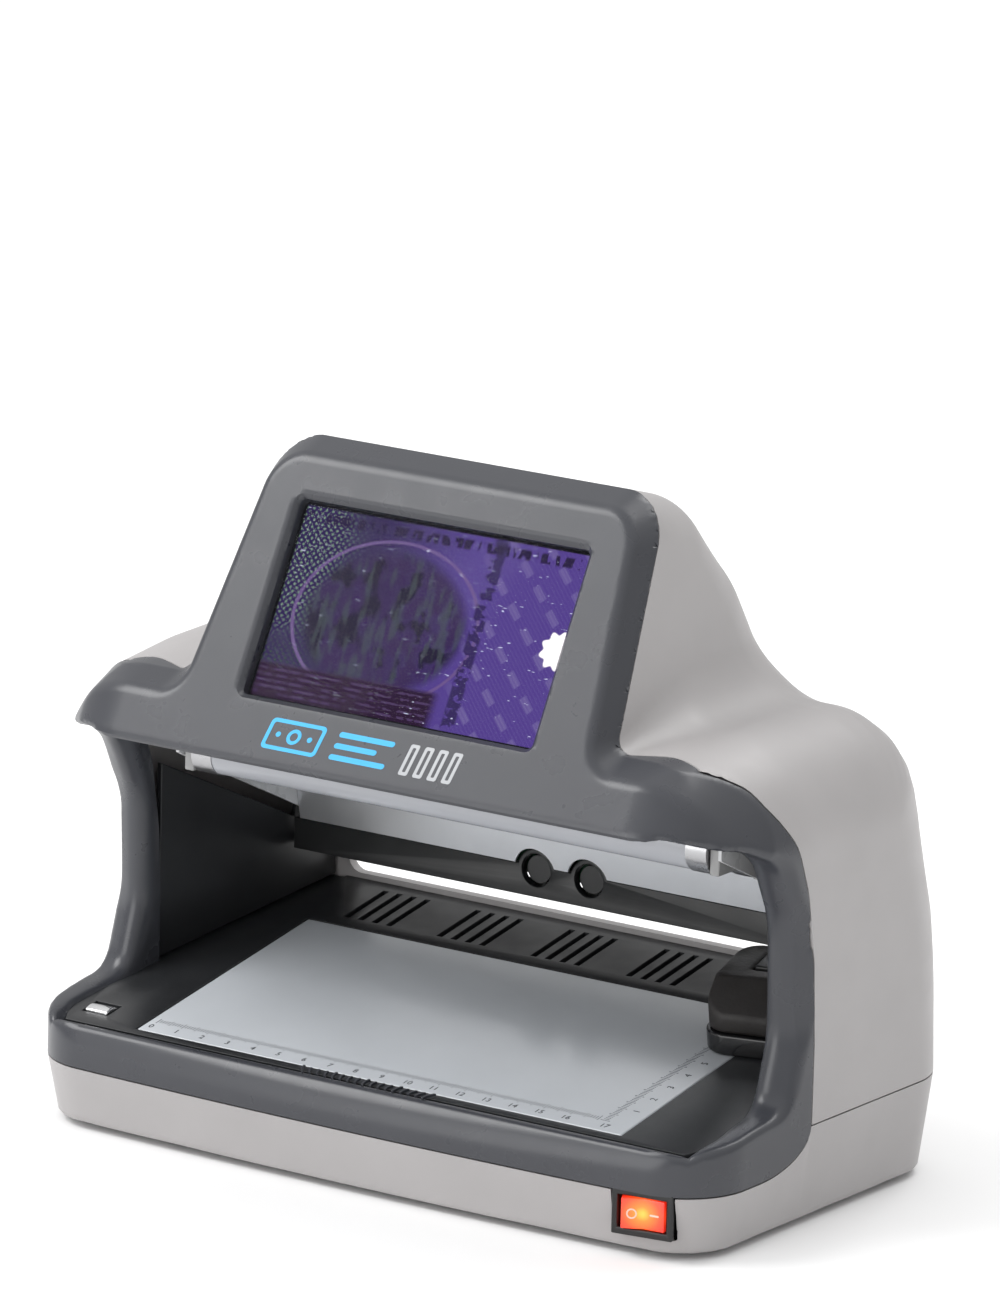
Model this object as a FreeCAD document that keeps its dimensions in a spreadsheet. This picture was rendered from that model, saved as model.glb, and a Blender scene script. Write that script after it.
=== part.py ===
"""Desktop counterfeit bill detector: a parametric document of its casings, optics and boards.

Frame: X to the right, Y to the back, Z up, origin at the bottom centre of the whole object,
at table level. Lengths are millimetres. Depths are counted from the front lip.
"""

import FreeCAD, Part
import math
import os
import Sketcher

Vector = FreeCAD.Vector
Rotation = FreeCAD.Rotation
Placement = FreeCAD.Placement

doc = FreeCAD.newDocument("BillDetector")
sheet = doc.addObject("Spreadsheet::Sheet", "Dims")


class Size:
    """A length with the expression that gives it, so that a feature can be bound to the sheet."""

    def __init__(self, value, text):
        self.value = value
        self.text = text

    def __add__(self, other):
        other = as_size(other)
        return Size(self.value + other.value, f"({self.text} + {other.text})")

    def __sub__(self, other):
        other = as_size(other)
        return Size(self.value - other.value, f"({self.text} - {other.text})")

    def __mul__(self, factor):
        return Size(self.value * factor, f"({self.text} * {factor:.6f})")

    def __neg__(self):
        return Size(-self.value, f"(-1 * {self.text})")

    __radd__ = __add__
    __rmul__ = __mul__


def as_size(number):
    if isinstance(number, Size):
        return number
    return Size(number, f"({number:.6f})")


def cell(alias, value):
    """One driving dimension: a row of the sheet, returned as a Size."""
    cell.row += 1
    sheet.set(f"A{cell.row}", alias)
    sheet.set(f"B{cell.row}", str(value))
    sheet.setAlias(f"B{cell.row}", alias)
    return Size(value, f"Dims.{alias}")


cell.row = 0

# ---------------------------------------------------------------- driving dimensions
depth = cell("depth", 151.5)
half_front = cell("half_width_front", 131)
half_back = cell("half_width_back", 137)
height = cell("height", 228)
wall = cell("wall", 2.5)
foot_tall = cell("foot_tall", 2.5)
corner_front = cell("corner_front", 28)
corner_back = cell("corner_back", 30)

lip_seam = cell("lip_seam_height", 22.5)
side_seam = cell("side_seam_height", 34)
parting = cell("parting_depth", 62.5)
lip_deep = cell("lip_deep", 10.5)

tray_front_z = cell("tray_front_height", 35)
plate_from_lip = cell("plate_from_lip", 14.1)
plate_wide = cell("plate_wide", 186.3)
plate_deep = cell("plate_deep", 97.7)
plate_thick = cell("plate_thick", 2)
tray_half_front = cell("tray_half_front", 124)
tray_half_back = cell("tray_half_back", 107)
tray_long = cell("tray_long", 136)

bay_half = cell("bay_half_width", 118)
band_bottom = cell("band_bottom", 134)
shoulder_top = cell("shoulder_top", 153.5)
shoulder_back = cell("shoulder_back", 156)
hood_half_low = cell("hood_half_low", 81)
hood_half_high = cell("hood_half_high", 72)

screen_low_z = cell("screen_low_height", 153.7)
screen_low_deep = cell("screen_low_depth", 14.3)
screen_wide = cell("screen_wide", 110)
screen_tall = cell("screen_tall", 65.8)

bar_deep = cell("bar_front_depth", 120.5)
bar_low = cell("bar_low", 70)
bar_tall = cell("bar_tall", 10.5)
camera_gap = cell("camera_spacing", 20.5)
eye_round = cell("camera_eye_radius", 5.6)

tube_round = cell("tube_radius", 8)
tube_long = cell("tube_long", 198)

switch_side = cell("switch_side", 108.2)
switch_wide = cell("switch_wide", 21)
switch_tall = cell("switch_tall", 15)
switch_low = cell("switch_low", 7.4)

viewer_wide = cell("viewer_wide", 34)
viewer_long = cell("viewer_long", 40)
viewer_tall = cell("viewer_tall", 25)

tray_slope = cell("tray_slope", 8.9).value
screen_lean = cell("screen_lean", 28.5).value
side_flare = cell("side_flare", 9.5).value
doc.recompute()

back_y = depth * 0.5
front_y = -back_y
through = depth * 3
screen_sin = math.sin(math.radians(screen_lean))
screen_cos = math.cos(math.radians(screen_lean))
tray_tan = math.tan(math.radians(tray_slope))


def behind_lip(distance):
    """The Y of a place that far behind the front of the lip."""
    return front_y + distance


def tray_height(distance):
    """The Z of the tray's upper face that far behind the front of the lip."""
    return tray_front_z + (as_size(distance) - plate_from_lip) * tray_tan


def face_y(level, inset=0.0):
    """The Y of the leaning face at a level, moved inwards by an inset square to the face."""
    along = (as_size(level) - screen_low_z) * (screen_sin / screen_cos)
    return behind_lip(screen_low_deep) + along + as_size(inset) * (1 / screen_cos)


# ---------------------------------------------------------------- helpers
def plane_of(body, role):
    for feature in body.Origin.OriginFeatures:
        if feature.Role == role:
            return feature
    raise ValueError(role)


def new_body(label):
    body = doc.addObject("PartDesign::Body", label)
    body.Label = label
    return body


def new_sketch(body, role, loops, offset=0):
    """A sketch on an origin plane: a loop is a list of points, or (u, v, radius) for a circle."""
    sketch = body.newObject("Sketcher::SketchObject", "Sketch")
    sketch.AttachmentSupport = [(plane_of(body, role), "")]
    sketch.MapMode = "FlatFace"
    offset = as_size(offset)
    sketch.AttachmentOffset = Placement(Vector(0, 0, offset.value), Rotation())
    sketch.setExpression("AttachmentOffset.Base.z", offset.text)
    for loop in loops:
        first = sketch.GeometryCount
        if isinstance(loop, tuple):
            u, v, radius = [as_size(number) for number in loop]
            centre = Vector(u.value, v.value, 0)
            sketch.addGeometry(Part.Circle(centre, Vector(0, 0, 1), radius.value))
            bind(sketch, "Radius", radius, first)
            bind(sketch, "DistanceX", u, -1, 1, first, 3)
            bind(sketch, "DistanceY", v, -1, 1, first, 3)
            continue
        points = [(as_size(u), as_size(v)) for u, v in loop]
        count = len(points)
        for index in range(count):
            start = points[index]
            end = points[(index + 1) % count]
            ends = Vector(start[0].value, start[1].value, 0), Vector(end[0].value, end[1].value, 0)
            sketch.addGeometry(Part.LineSegment(*ends))
        for index, (u, v) in enumerate(points):
            follower = first + (index + 1) % count
            sketch.addConstraint(Sketcher.Constraint("Coincident", first + index, 2, follower, 1))
            bind(sketch, "DistanceX", u, -1, 1, first + index, 1)
            bind(sketch, "DistanceY", v, -1, 1, first + index, 1)
    return sketch


def bind(sketch, kind, size, *places):
    number = sketch.addConstraint(Sketcher.Constraint(kind, *places, size.value))
    sketch.setExpression(f"Constraints[{number}]", size.text)


def swept(body, kind, role, loops, length, offset=0, symmetric=True):
    """A pad or a pocket along the plane's normal. It has to change the volume."""
    before = volume_of(body)
    feature = body.newObject(f"PartDesign::{kind}", kind)
    feature.Profile = new_sketch(body, role, loops, offset)
    length = as_size(length)
    feature.Length = length.value
    feature.setExpression("Length", length.text)
    feature.SideType = "Symmetric" if symmetric else "One side"
    feature.Reversed = kind == "Pocket" and not symmetric
    doc.recompute()
    if abs(volume_of(body) - before) < 0.01:
        raise ValueError(f"{body.Label}: a {kind} on {role} changes nothing")
    return feature


def pad(body, role, loops, length, offset=0, symmetric=True):
    return swept(body, "Pad", role, loops, length, offset, symmetric)


def pocket(body, role, loops, length, offset=0, symmetric=True):
    return swept(body, "Pocket", role, loops, length, offset, symmetric)


def volume_of(body):
    if body.Tip is None or body.Shape.isNull():
        return 0.0
    return body.Shape.Volume


def fillet_edges(body, radius, chosen):
    """Rounds the edges of the body's last feature for which chosen(edge) holds."""
    tip = body.Tip
    names = []
    for number, edge in enumerate(tip.Shape.Edges, 1):
        if chosen(edge):
            names.append(f"Edge{number}")
    rounded = body.newObject("PartDesign::Fillet", "Fillet")
    rounded.Base = (tip, names)
    radius = as_size(radius)
    rounded.Radius = radius.value
    rounded.setExpression("Radius", radius.text)
    doc.recompute()
    return rounded


def upright(edge):
    """Whether an edge is a straight vertical one."""
    if len(edge.Vertexes) != 2:
        return False
    low, high = [vertex.Point for vertex in edge.Vertexes]
    run = high - low
    return abs(run.z) > 0.99 * run.Length


def plate(x, y, wide, deep):
    """A rectangle loop centred on x that starts at y."""
    half = as_size(wide) * 0.5
    return [(x - half, y), (x + half, y), (x + half, y + deep), (x - half, y + deep)]


def mirrored(loop):
    return [(-as_size(u), v) for u, v in loop]


def block(label, x, y, z, wide, deep, tall, frame=None):
    """A box centred on x, from y backwards and z upwards, in a frame of its own if one is given."""
    wide, deep, tall = as_size(wide), as_size(deep), as_size(tall)
    made = doc.addObject("Part::Box", label)
    made.Label = label
    made.Length = wide.value
    made.Width = deep.value
    made.Height = tall.value
    made.setExpression("Length", wide.text)
    made.setExpression("Width", deep.text)
    made.setExpression("Height", tall.text)
    corner = Vector(as_size(x).value - wide.value / 2, as_size(y).value, as_size(z).value)
    made.Placement = (frame or Placement()).multiply(Placement(corner, Rotation()))
    return made


def rod(label, x, y, z, radius, tall, direction=(0, 0, 1), frame=None):
    """A cylinder from (x, y, z) along a direction."""
    radius, tall = as_size(radius), as_size(tall)
    made = doc.addObject("Part::Cylinder", label)
    made.Label = label
    made.Radius = radius.value
    made.Height = tall.value
    made.setExpression("Radius", radius.text)
    made.setExpression("Height", tall.text)
    base = Vector(as_size(x).value, as_size(y).value, as_size(z).value)
    turn = Rotation(Vector(0, 0, 1), Vector(*direction))
    made.Placement = (frame or Placement()).multiply(Placement(base, turn))
    return made


def cut(label, base, *tools):
    """The base with every tool taken out of it."""
    base.Label = f"{label}_block"
    for tool in tools:
        made = doc.addObject("Part::Cut", "Cut")
        made.Base = base
        made.Tool = tool
        base = made
    base.Label = label
    return base


def fused(label, *pieces):
    made = doc.addObject("Part::MultiFuse", label)
    made.Shapes = list(pieces)
    made.Label = label
    return made


def group(label, *pieces):
    """Like pieces that stay separate solids and share one node."""
    made = doc.addObject("Part::Compound", label)
    made.Links = list(pieces)
    made.Label = label
    return made


def hidden(name):
    """The next free name for a working object that is no sub-part of its own."""
    hidden.count += 1
    return f"{name}_{hidden.count}"


hidden.count = 0
nodes = []


def keep(made):
    """Marks an object as a sub-part: its Label is the node's name."""
    nodes.append(made)
    return made


tray_frame = Placement(
    Vector(0, behind_lip(plate_from_lip).value, tray_front_z.value),
    Rotation(Vector(1, 0, 0), tray_slope),
)
screen_frame = Placement(
    Vector(0, behind_lip(screen_low_deep).value, screen_low_z.value),
    Rotation(Vector(1, 0, 0), -screen_lean),
)


def half_at(distance, inset=0.0):
    """Half the width of the casing that far behind the lip: it widens towards the back."""
    gain = (half_back - half_front) * (distance / depth.value)
    return half_front + gain - inset


def plan_loop(start, end, inset=0.0):
    """The casing's plan between two distances behind the lip."""
    return [
        (-half_at(start, inset), behind_lip(start)),
        (half_at(start, inset), behind_lip(start)),
        (half_at(end, inset), behind_lip(end - inset)),
        (-half_at(end, inset), behind_lip(end - inset)),
    ]


def side_loop(points, shift=0.0, drop=0.0):
    """A loop of the side view from (distance behind the lip, level) pairs."""
    return [(behind_lip(distance - shift), as_size(level) - drop) for distance, level in points]


# Where the front frame meets the upper casing, seen from the side, lowest point first.
parting_line = [
    (parting.value, side_seam.value),
    (parting.value, 60),
    (59.5, 88),
    (53, 113),
    (44, 129),
    (30, 145),
    (23, 152),
    (60, 220),
    (65.4, height.value),
]
# The back of the casing: the tall middle part behind the screen, seen from the side.
hump_line = [
    (151.5, side_seam.value),
    (147.5, 92),
    (142, 122),
    (134, 142),
    (127, 158),
    (118, 177),
    (106, 195),
    (93, 209),
    (79, 219),
    (66, 225),
    (54, height.value),
]


# ---------------------------------------------------------------- base_shell
# The lower half of the casing, an open tub of light grey plastic with the rocker switch in front.
base_shell = new_body("base_shell")
pad(
    base_shell,
    "XY_Plane",
    [plan_loop(0, depth.value)],
    side_seam - foot_tall,
    foot_tall,
    symmetric=False,
)
fillet_edges(base_shell, corner_front, lambda edge: upright(edge) and edge.CenterOfMass.y < 0)
fillet_edges(base_shell, corner_back, lambda edge: upright(edge) and edge.CenterOfMass.y > 0)
lip_run = [(-2, lip_seam.value), (0, lip_seam.value), (parting.value, 32.3)]
above_lip = lip_run + [(parting.value, 40), (-2, 40)]
under_lip = [(-2, 0), (9, 0), (9, foot_tall.value), (5, 6), (0, lip_seam.value), (-2, lip_seam.value)]
pocket(base_shell, "YZ_Plane", [side_loop(above_lip)], through)
pocket(base_shell, "YZ_Plane", [side_loop(under_lip)], through)
tub_turns = [math.radians(90 * step / 5) for step in range(6)]
tub_corner = [
    (
        half_front - corner_front + (corner_front - 3) * math.sin(turn),
        behind_lip(corner_front) - (corner_front - 9) * math.cos(turn),
    )
    for turn in tub_turns
]
tub_half = tub_corner + [
    (half_at(125, 3), behind_lip(125)),
    (half_at(140, 10), behind_lip(141)),
    (half_at(150, 28), behind_lip(depth - 3)),
]
tub_loop = tub_half + mirrored(tub_half)[::-1]
pocket(base_shell, "XY_Plane", [tub_loop], side_seam, foot_tall + wall, symmetric=False)
base_screw_places = [(-105, 40), (105, 40), (-105, 122), (105, 122), (0, 134), (0, 18)]
boss_loops = [(as_size(x), behind_lip(away), 3.6) for x, away in base_screw_places]
pad(base_shell, "XY_Plane", boss_loops, 8, foot_tall + wall, symmetric=False)
screw_loops = [(as_size(x), behind_lip(away), 1.7) for x, away in base_screw_places]
pocket(base_shell, "XY_Plane", screw_loops, 12, foot_tall, symmetric=False)
speaker_place = (70, 92)
grille_loops = []
for ring in (1, 2):
    for step in range(6 * ring):
        turn = math.radians(60 / ring * step)
        x = speaker_place[0] + 6 * ring * math.cos(turn)
        away = speaker_place[1] + 6 * ring * math.sin(turn)
        grille_loops.append((as_size(x), behind_lip(away), 1.2))
pocket(base_shell, "XY_Plane", grille_loops, 4, foot_tall, symmetric=False)
jack_x = -70
port_x = -40
jack_opening = block(hidden("Jack"), jack_x, behind_lip(140), 10.4, 11.8, 20, 11.8)
port_opening = block(hidden("Port"), port_x, behind_lip(140), 10.4, 14.8, 20, 8.8)
foot_places = [(-102, 26), (102, 26), (-108, 128), (108, 128)]
switch_turn = 8.0
switch_frame = Placement(
    Vector(switch_side.value, behind_lip(5.2).value, switch_low.value),
    Rotation(Vector(0, 0, 1), switch_turn),
)
keep(
    cut(
        "base_shell",
        base_shell,
        block(hidden("Notch"), 0, -12, -0.4, switch_wide + 1.2, 12, 40, switch_frame),
        block(hidden("Notch"), 0, -12, 1, switch_wide - 1.6, 40, switch_tall - 2, switch_frame),
        jack_opening,
        port_opening,
    )
)


# ---------------------------------------------------------------- upper_shell
def upper_block(name, inset):
    """The upper casing's outside, or with an inset its inside: both are the same cuts."""
    body = new_body(name)
    start = parting.value - 45
    foot = side_seam - (1 if inset else 0)
    pad(body, "XY_Plane", [plan_loop(start, depth.value, inset)], height - foot, foot, symmetric=False)
    fillet_edges(
        body, corner_back - inset, lambda edge: upright(edge) and edge.CenterOfMass.y > 0
    )
    beyond = [(50, 260), (190, 260), (190, 20), (151.5, 20)]
    pocket(body, "YZ_Plane", [side_loop(hump_line + beyond, inset, inset)], through)
    ahead = [(65.4, 260), (-10, 260), (-10, 20), (parting.value, 20)]
    pocket(body, "YZ_Plane", [side_loop(parting_line + ahead, 3 * inset)], through)
    beside = [
        (hood_half_low - inset, shoulder_back - inset),
        (as_size(108 - inset), shoulder_back - inset),
        (as_size(123 - inset), as_size(151 - inset)),
        (as_size(132 - inset), as_size(137 - inset)),
        (as_size(135 - inset), as_size(120 - inset)),
        (as_size(160), as_size(110 - inset)),
        (as_size(160), as_size(260)),
        (hood_half_high - inset - 4, as_size(260)),
    ]
    pocket(body, "XZ_Plane", [beside, mirrored(beside)], through)
    return body


upper_outer = upper_block("upper_outer", 0.0)
upper_inner = upper_block("upper_inner", wall.value)
slot_half = 101
slot_low = 57.5
slot_tall = 13
back_vent_pitch = 7
rear_slot = block(hidden("Slot"), 0, behind_lip(130), slot_low, 2 * slot_half, 40, slot_tall)
back_vents = [
    block(hidden("Vent"), -42 + index * back_vent_pitch, behind_lip(120), 84, 3, 40, 22)
    for index in range(13)
]
upper_shell = cut("upper_shell", upper_outer, upper_inner, rear_slot, *back_vents)
keep(upper_shell)


# ---------------------------------------------------------------- front_bezel
# The grey front frame: lip, two bowed columns, the band over the bay and the screen's hood.
skin = 3.0
front_line = [
    (0, lip_seam.value),
    (0, 30),
    (4, 35.2),
    (10.5, 36.2),
    (30, 40),
    (42, 47),
    (49, 60),
    (50, 82),
    (47, 104),
    (38, 122),
    (24, 131),
    (3.8, band_bottom.value),
    (6, 139),
]
lean_tan = screen_sin / screen_cos
hood_top_front = screen_low_deep.value + (224 - screen_low_z.value) * lean_tan
front_bezel = new_body("bezel_block")
frame_back = [(parting.value, 32.3)] + parting_line[1:]
side_points = front_line + [(hood_top_front, 224), (56, height.value)] + frame_back[::-1]
pad(front_bezel, "YZ_Plane", [side_loop(side_points)], half_at(parting.value) * 2)
corner_cut = 6
corner_steps = [math.radians(90 * step / corner_cut) for step in range(corner_cut + 1)]
corner_loop = [
    (
        half_front - corner_front + corner_front * math.sin(turn),
        behind_lip(corner_front) - corner_front * math.cos(turn),
    )
    for turn in corner_steps
]
corner_loop = corner_loop + [
    (half_at(parting.value), behind_lip(parting.value)),
    (half_front + 20, behind_lip(parting.value)),
    (half_front + 20, behind_lip(-5)),
    (half_front - corner_front, behind_lip(-5)),
]
pocket(front_bezel, "XY_Plane", [corner_loop, mirrored(corner_loop)], 600)
hood_outline = [
    (hood_half_low, shoulder_top + 1),
    (as_size(103), shoulder_top),
    (as_size(119), shoulder_top - 6),
    (as_size(129), shoulder_top - 19),
    (as_size(133.5), shoulder_top - 38),
    (as_size(170), shoulder_top - 38),
    (as_size(170), as_size(260)),
    (as_size(52), as_size(260)),
    (as_size(52), height),
    (as_size(64), height - 2),
    (hood_half_high - 1, height - 9),
]
pocket(front_bezel, "XZ_Plane", [hood_outline, mirrored(hood_outline)], through)
opening = [
    (-bay_half, as_size(36.4)),
    (bay_half, as_size(36.4)),
    (bay_half, band_bottom - 14),
    (bay_half - 4, band_bottom - 4),
    (bay_half - 14, band_bottom),
    (-bay_half + 14, band_bottom),
    (-bay_half + 4, band_bottom - 4),
    (-bay_half, band_bottom - 14),
]
pocket(front_bezel, "XZ_Plane", [opening], through)
floor_loop = [
    (-tray_half_front + 4, behind_lip(lip_deep)),
    (tray_half_front - 4, behind_lip(lip_deep)),
    (tray_half_front + 1, behind_lip(lip_deep + 8)),
    (tray_half_front + 1, behind_lip(parting + 5)),
    (-tray_half_front - 1, behind_lip(parting + 5)),
    (-tray_half_front - 1, behind_lip(lip_deep + 8)),
]
pocket(front_bezel, "XY_Plane", [floor_loop], 31, 15, symmetric=False)
inner_top = 222.0
inner_low = band_bottom + 2.5
hood_room = [
    (face_y(inner_low, skin), inner_low),
    (face_y(inner_top, skin), as_size(inner_top)),
    (behind_lip(90), as_size(inner_top)),
    (behind_lip(90), inner_low),
]
pocket(front_bezel, "YZ_Plane", [hood_room], 2 * (hood_half_high - 7))
band_room = [
    (face_y(inner_low, skin), inner_low),
    (face_y(150, skin), as_size(150)),
    (behind_lip(90), as_size(150)),
    (behind_lip(90), inner_low),
]
pocket(front_bezel, "YZ_Plane", [band_room], 2 * (bay_half - 2))
window = plate(as_size(0), screen_low_z + 1, screen_wide, screen_tall * screen_cos - 1)
pocket(front_bezel, "XZ_Plane", [window], 200)
keep(front_bezel)
front_bezel.Label = "front_bezel"


# ---------------------------------------------------------------- work_tray
# The dark floor of the bay, tilted up to the back: it holds the lit plate and has five vents.
tray_thick = 3.2
work_tray = new_body("work_tray")
tray_outline = [
    (-tray_half_front + 5, as_size(-3.3)),
    (tray_half_front - 5, as_size(-3.3)),
    (tray_half_front, as_size(6)),
    (tray_half_front, as_size(30)),
    (tray_half_back, tray_long - 4),
    (-tray_half_back, tray_long - 4),
    (-tray_half_front, as_size(30)),
    (-tray_half_front, as_size(6)),
]
pad(work_tray, "XY_Plane", [tray_outline], tray_thick, -tray_thick, symmetric=False)
roll = plate(as_size(0), tray_long - 4, tray_half_back * 2 - 10, 1.6)
pad(work_tray, "XY_Plane", [roll], 5, -5, symmetric=False)
plate_seat = plate(as_size(0), as_size(0), plate_wide + 0.4, plate_deep + 0.4)
pocket(work_tray, "XY_Plane", [plate_seat], 3, -plate_thick, symmetric=False)
light_window = plate(as_size(0), as_size(3), plate_wide - 6, plate_deep - 6)
pocket(work_tray, "XY_Plane", [light_window], 5, -4, symmetric=False)
vent_loops = []
vent_pitch = 5.6
group_pitch = 37.0
for group_index in range(5):
    for slot_index in range(4):
        x = (group_index - 2) * group_pitch + (slot_index - 1.5) * vent_pitch
        vent_loops.append(plate(as_size(x), as_size(104.5), 2.2, 23.5))
pocket(work_tray, "XY_Plane", vent_loops, 6, -4, symmetric=False)
head_x = -112.9
head_y = 4.3
head_window = plate(as_size(head_x), as_size(head_y), 10.2, 8.4)
pocket(work_tray, "XY_Plane", [head_window], 6, -4, symmetric=False)
work_tray.Placement = tray_frame
keep(work_tray)


# ---------------------------------------------------------------- cheeks
# The bay's dark side walls: flat panels whose upper edge slopes down to the reflector's end.
cheek_thick = 2.2
cheek_front = 63.0
cheek_line = [
    (cheek_front, tray_height(cheek_front).value + 0.4),
    (146, tray_height(146).value + 0.4),
    (146, 72),
    (134, 84),
    (127, 84),
    (126, 79.5),
    (cheek_front, 109),
]
for side, label in ((-1, "left_cheek"), (1, "right_cheek")):
    cheek = new_body(label)
    cheek_loop = [(as_size(away - cheek_front), as_size(level)) for away, level in cheek_line]
    pad(cheek, "YZ_Plane", [cheek_loop], cheek_thick)
    cheek.Placement = Placement(
        Vector(side * 120.4, behind_lip(cheek_front).value, 0),
        Rotation(Vector(0, 0, 1), side * side_flare),
    )
    keep(cheek)



# ---------------------------------------------------------------- light_plate and its lighting
# The white ruled plate that the note lies on, with a light guide and a board of diodes below.
keep(block("light_plate", 0, 0.2, -plate_thick, plate_wide, plate_deep, plate_thick, tray_frame))
guide_wide = plate_wide - 10
guide_deep = plate_deep - 10
keep(block("light_guide", 0, 5, -6.6, guide_wide, guide_deep, 3, tray_frame))
keep(block("backlight_board", 0, 5, -12, guide_wide, guide_deep, 1.6, tray_frame))
diodes = []
for column in range(8):
    for row in range(4):
        x = (column - 3.5) * 21
        y = 14 + row * 22
        diodes.append(block(hidden("Diode"), x, y, -10.4, 3.5, 2.8, 1.5, tray_frame))
keep(group("backlight_diodes", *diodes))


# ---------------------------------------------------------------- camera_bar and cameras
# The black bar across the back of the bay: two cameras look down through its eyelets.
bar_half = 106.2
eye_level = 79.1
bar_front = behind_lip(bar_deep)
bar_body = block(hidden("Bar"), 0, bar_front, bar_low, 2 * bar_half, 3, bar_tall)
bar_shelf = block(hidden("Bar"), 0, bar_front, bar_low, 2 * bar_half, 14, 2)
eyelets = [
    rod(hidden("Eyelet"), side * camera_gap * 0.5, bar_front + 3, eye_level, eye_round + 1.6, 3, (0, -1, 0))
    for side in (-1, 1)
]
eye_holes = [
    rod(hidden("Eye"), side * camera_gap * 0.5, bar_front + 6, eye_level, eye_round, 8, (0, -1, 0))
    for side in (-1, 1)
]
keep(cut("camera_bar", fused(hidden("BarSolid"), bar_body, bar_shelf, *eyelets), *eye_holes))
for side, label in ((-1, "white_light_camera"), (1, "infrared_camera")):
    x = side * camera_gap * 0.5
    barrel = rod(hidden("Barrel"), x, bar_front + 9, eye_level, 4.6, 7, (0, -1, 0))
    mount = block(hidden("Mount"), x, bar_front + 9, eye_level - 6, 12, 6, 12)
    keep(fused(label, barrel, mount))
board_low = eye_level - 6.2
keep(block("camera_board", 0, bar_front + 15.2, board_low, 60, 1.6, 16))


# ---------------------------------------------------------------- reflector and lamps
# A folded bright sheet behind and over two small ultraviolet tubes, closed by an end plate each side.
reflector_line = [(119.6, 81), (116, 98), (108, 114), (92, 125), (66, 131), (40, 131)]
sheet_thick = 0.8
outer_line = [(away + sheet_thick, level + sheet_thick) for away, level in reflector_line]
reflector = new_body("reflector")
pad(reflector, "YZ_Plane", [side_loop(reflector_line + outer_line[::-1])], 2 * bar_half - 6)
notch_loops = [(side * camera_gap * 0.5, as_size(eye_level), eye_round + 2.2) for side in (-1, 1)]
pocket(reflector, "XZ_Plane", notch_loops, 60, -bar_front - 25, symmetric=False)
keep(reflector)
end_line = [(54, 116), (122, 84), (117.4, 98), (109.4, 114.6), (93, 126), (66, 132.4), (50, 132.4)]
end_line = end_line + [(50, 118)]
end_place = bar_half - 2.2
for side, label in ((-1, "left_reflector_end"), (1, "right_reflector_end")):
    end_plate = new_body(label)
    pad(end_plate, "YZ_Plane", [side_loop(end_line)], 1.2, side * end_place - 0.6, symmetric=False)
    keep(end_plate)
tube_places = [(58, 119), (84, 112)]
tubes = []
caps = []
holders = []
cap_long = 8.0
for away, level in tube_places:
    place = (as_size(0) - tube_long * 0.5 + cap_long, behind_lip(away), level)
    tubes.append(rod(hidden("Tube"), *place, tube_round - 0.3, tube_long - 2 * cap_long, (1, 0, 0)))
    for side in (-1, 1):
        start = side * (tube_long.value / 2 - cap_long)
        cap_place = (start, behind_lip(away), level)
        caps.append(rod(hidden("Cap"), *cap_place, tube_round, cap_long - 0.2, (side, 0, 0)))
        x = side * (tube_long.value / 2 + 1.8)
        holders.append(block(hidden("Holder"), x, behind_lip(away - 6), level - 7, 3.6, 12, 17))
keep(group("lamp_tubes", *tubes))
keep(group("lamp_caps", *caps))
keep(group("lamp_holders", *holders))


# ---------------------------------------------------------------- screen
# A five inch panel behind a clear window, with its bracket and the main board in the hood.
keep(block("screen_window", 0, 3.3, -1.6, screen_wide + 4, 1.2, screen_tall + 3, screen_frame))
keep(block("lcd_panel", 0, 4.7, -4.8, 120.7, 4, 75.8, screen_frame))
bracket_plate = block(hidden("Bracket"), 0, 9, -4.8, 124, 1.2, 76, screen_frame)
bracket_hole = block(hidden("Bracket"), 0, 8, 10, 84, 4, 44, screen_frame)
keep(cut("lcd_bracket", bracket_plate, bracket_hole))
board_y = 17.0
keep(block("main_board", 0, board_y, -2, 112, 1.6, 66, screen_frame))
posts = []
bolts = []
for x in (-50, 50):
    for z in (4, 56):
        posts.append(rod(hidden("Post"), x, 10.3, z, 3, board_y - 10.4, (0, 1, 0), screen_frame))
        bolts.append(rod(hidden("Bolt"), x, board_y + 1.7, z, 2.6, 1.8, (0, 1, 0), screen_frame))
keep(group("board_posts", *posts))
keep(group("board_screws", *bolts))
chips = [
    block(hidden("Chip"), -18, board_y + 1.7, 20, 18, 1.6, 18, screen_frame),
    block(hidden("Chip"), 16, board_y + 1.7, 24, 12, 1.2, 10, screen_frame),
    block(hidden("Chip"), 16, board_y + 1.7, 40, 9, 1.2, 9, screen_frame),
]
keep(group("board_chips", *chips))
sink = block(hidden("Sink"), -18, board_y + 3.4, 20, 20, 7, 20, screen_frame)
fin_gaps = [
    block(hidden("Gap"), -18 - 7.5 + 3 * index, board_y + 5.4, 10, 1.6, 8, 40, screen_frame)
    for index in range(6)
]
keep(cut("heat_sink", sink, *fin_gaps))


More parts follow.
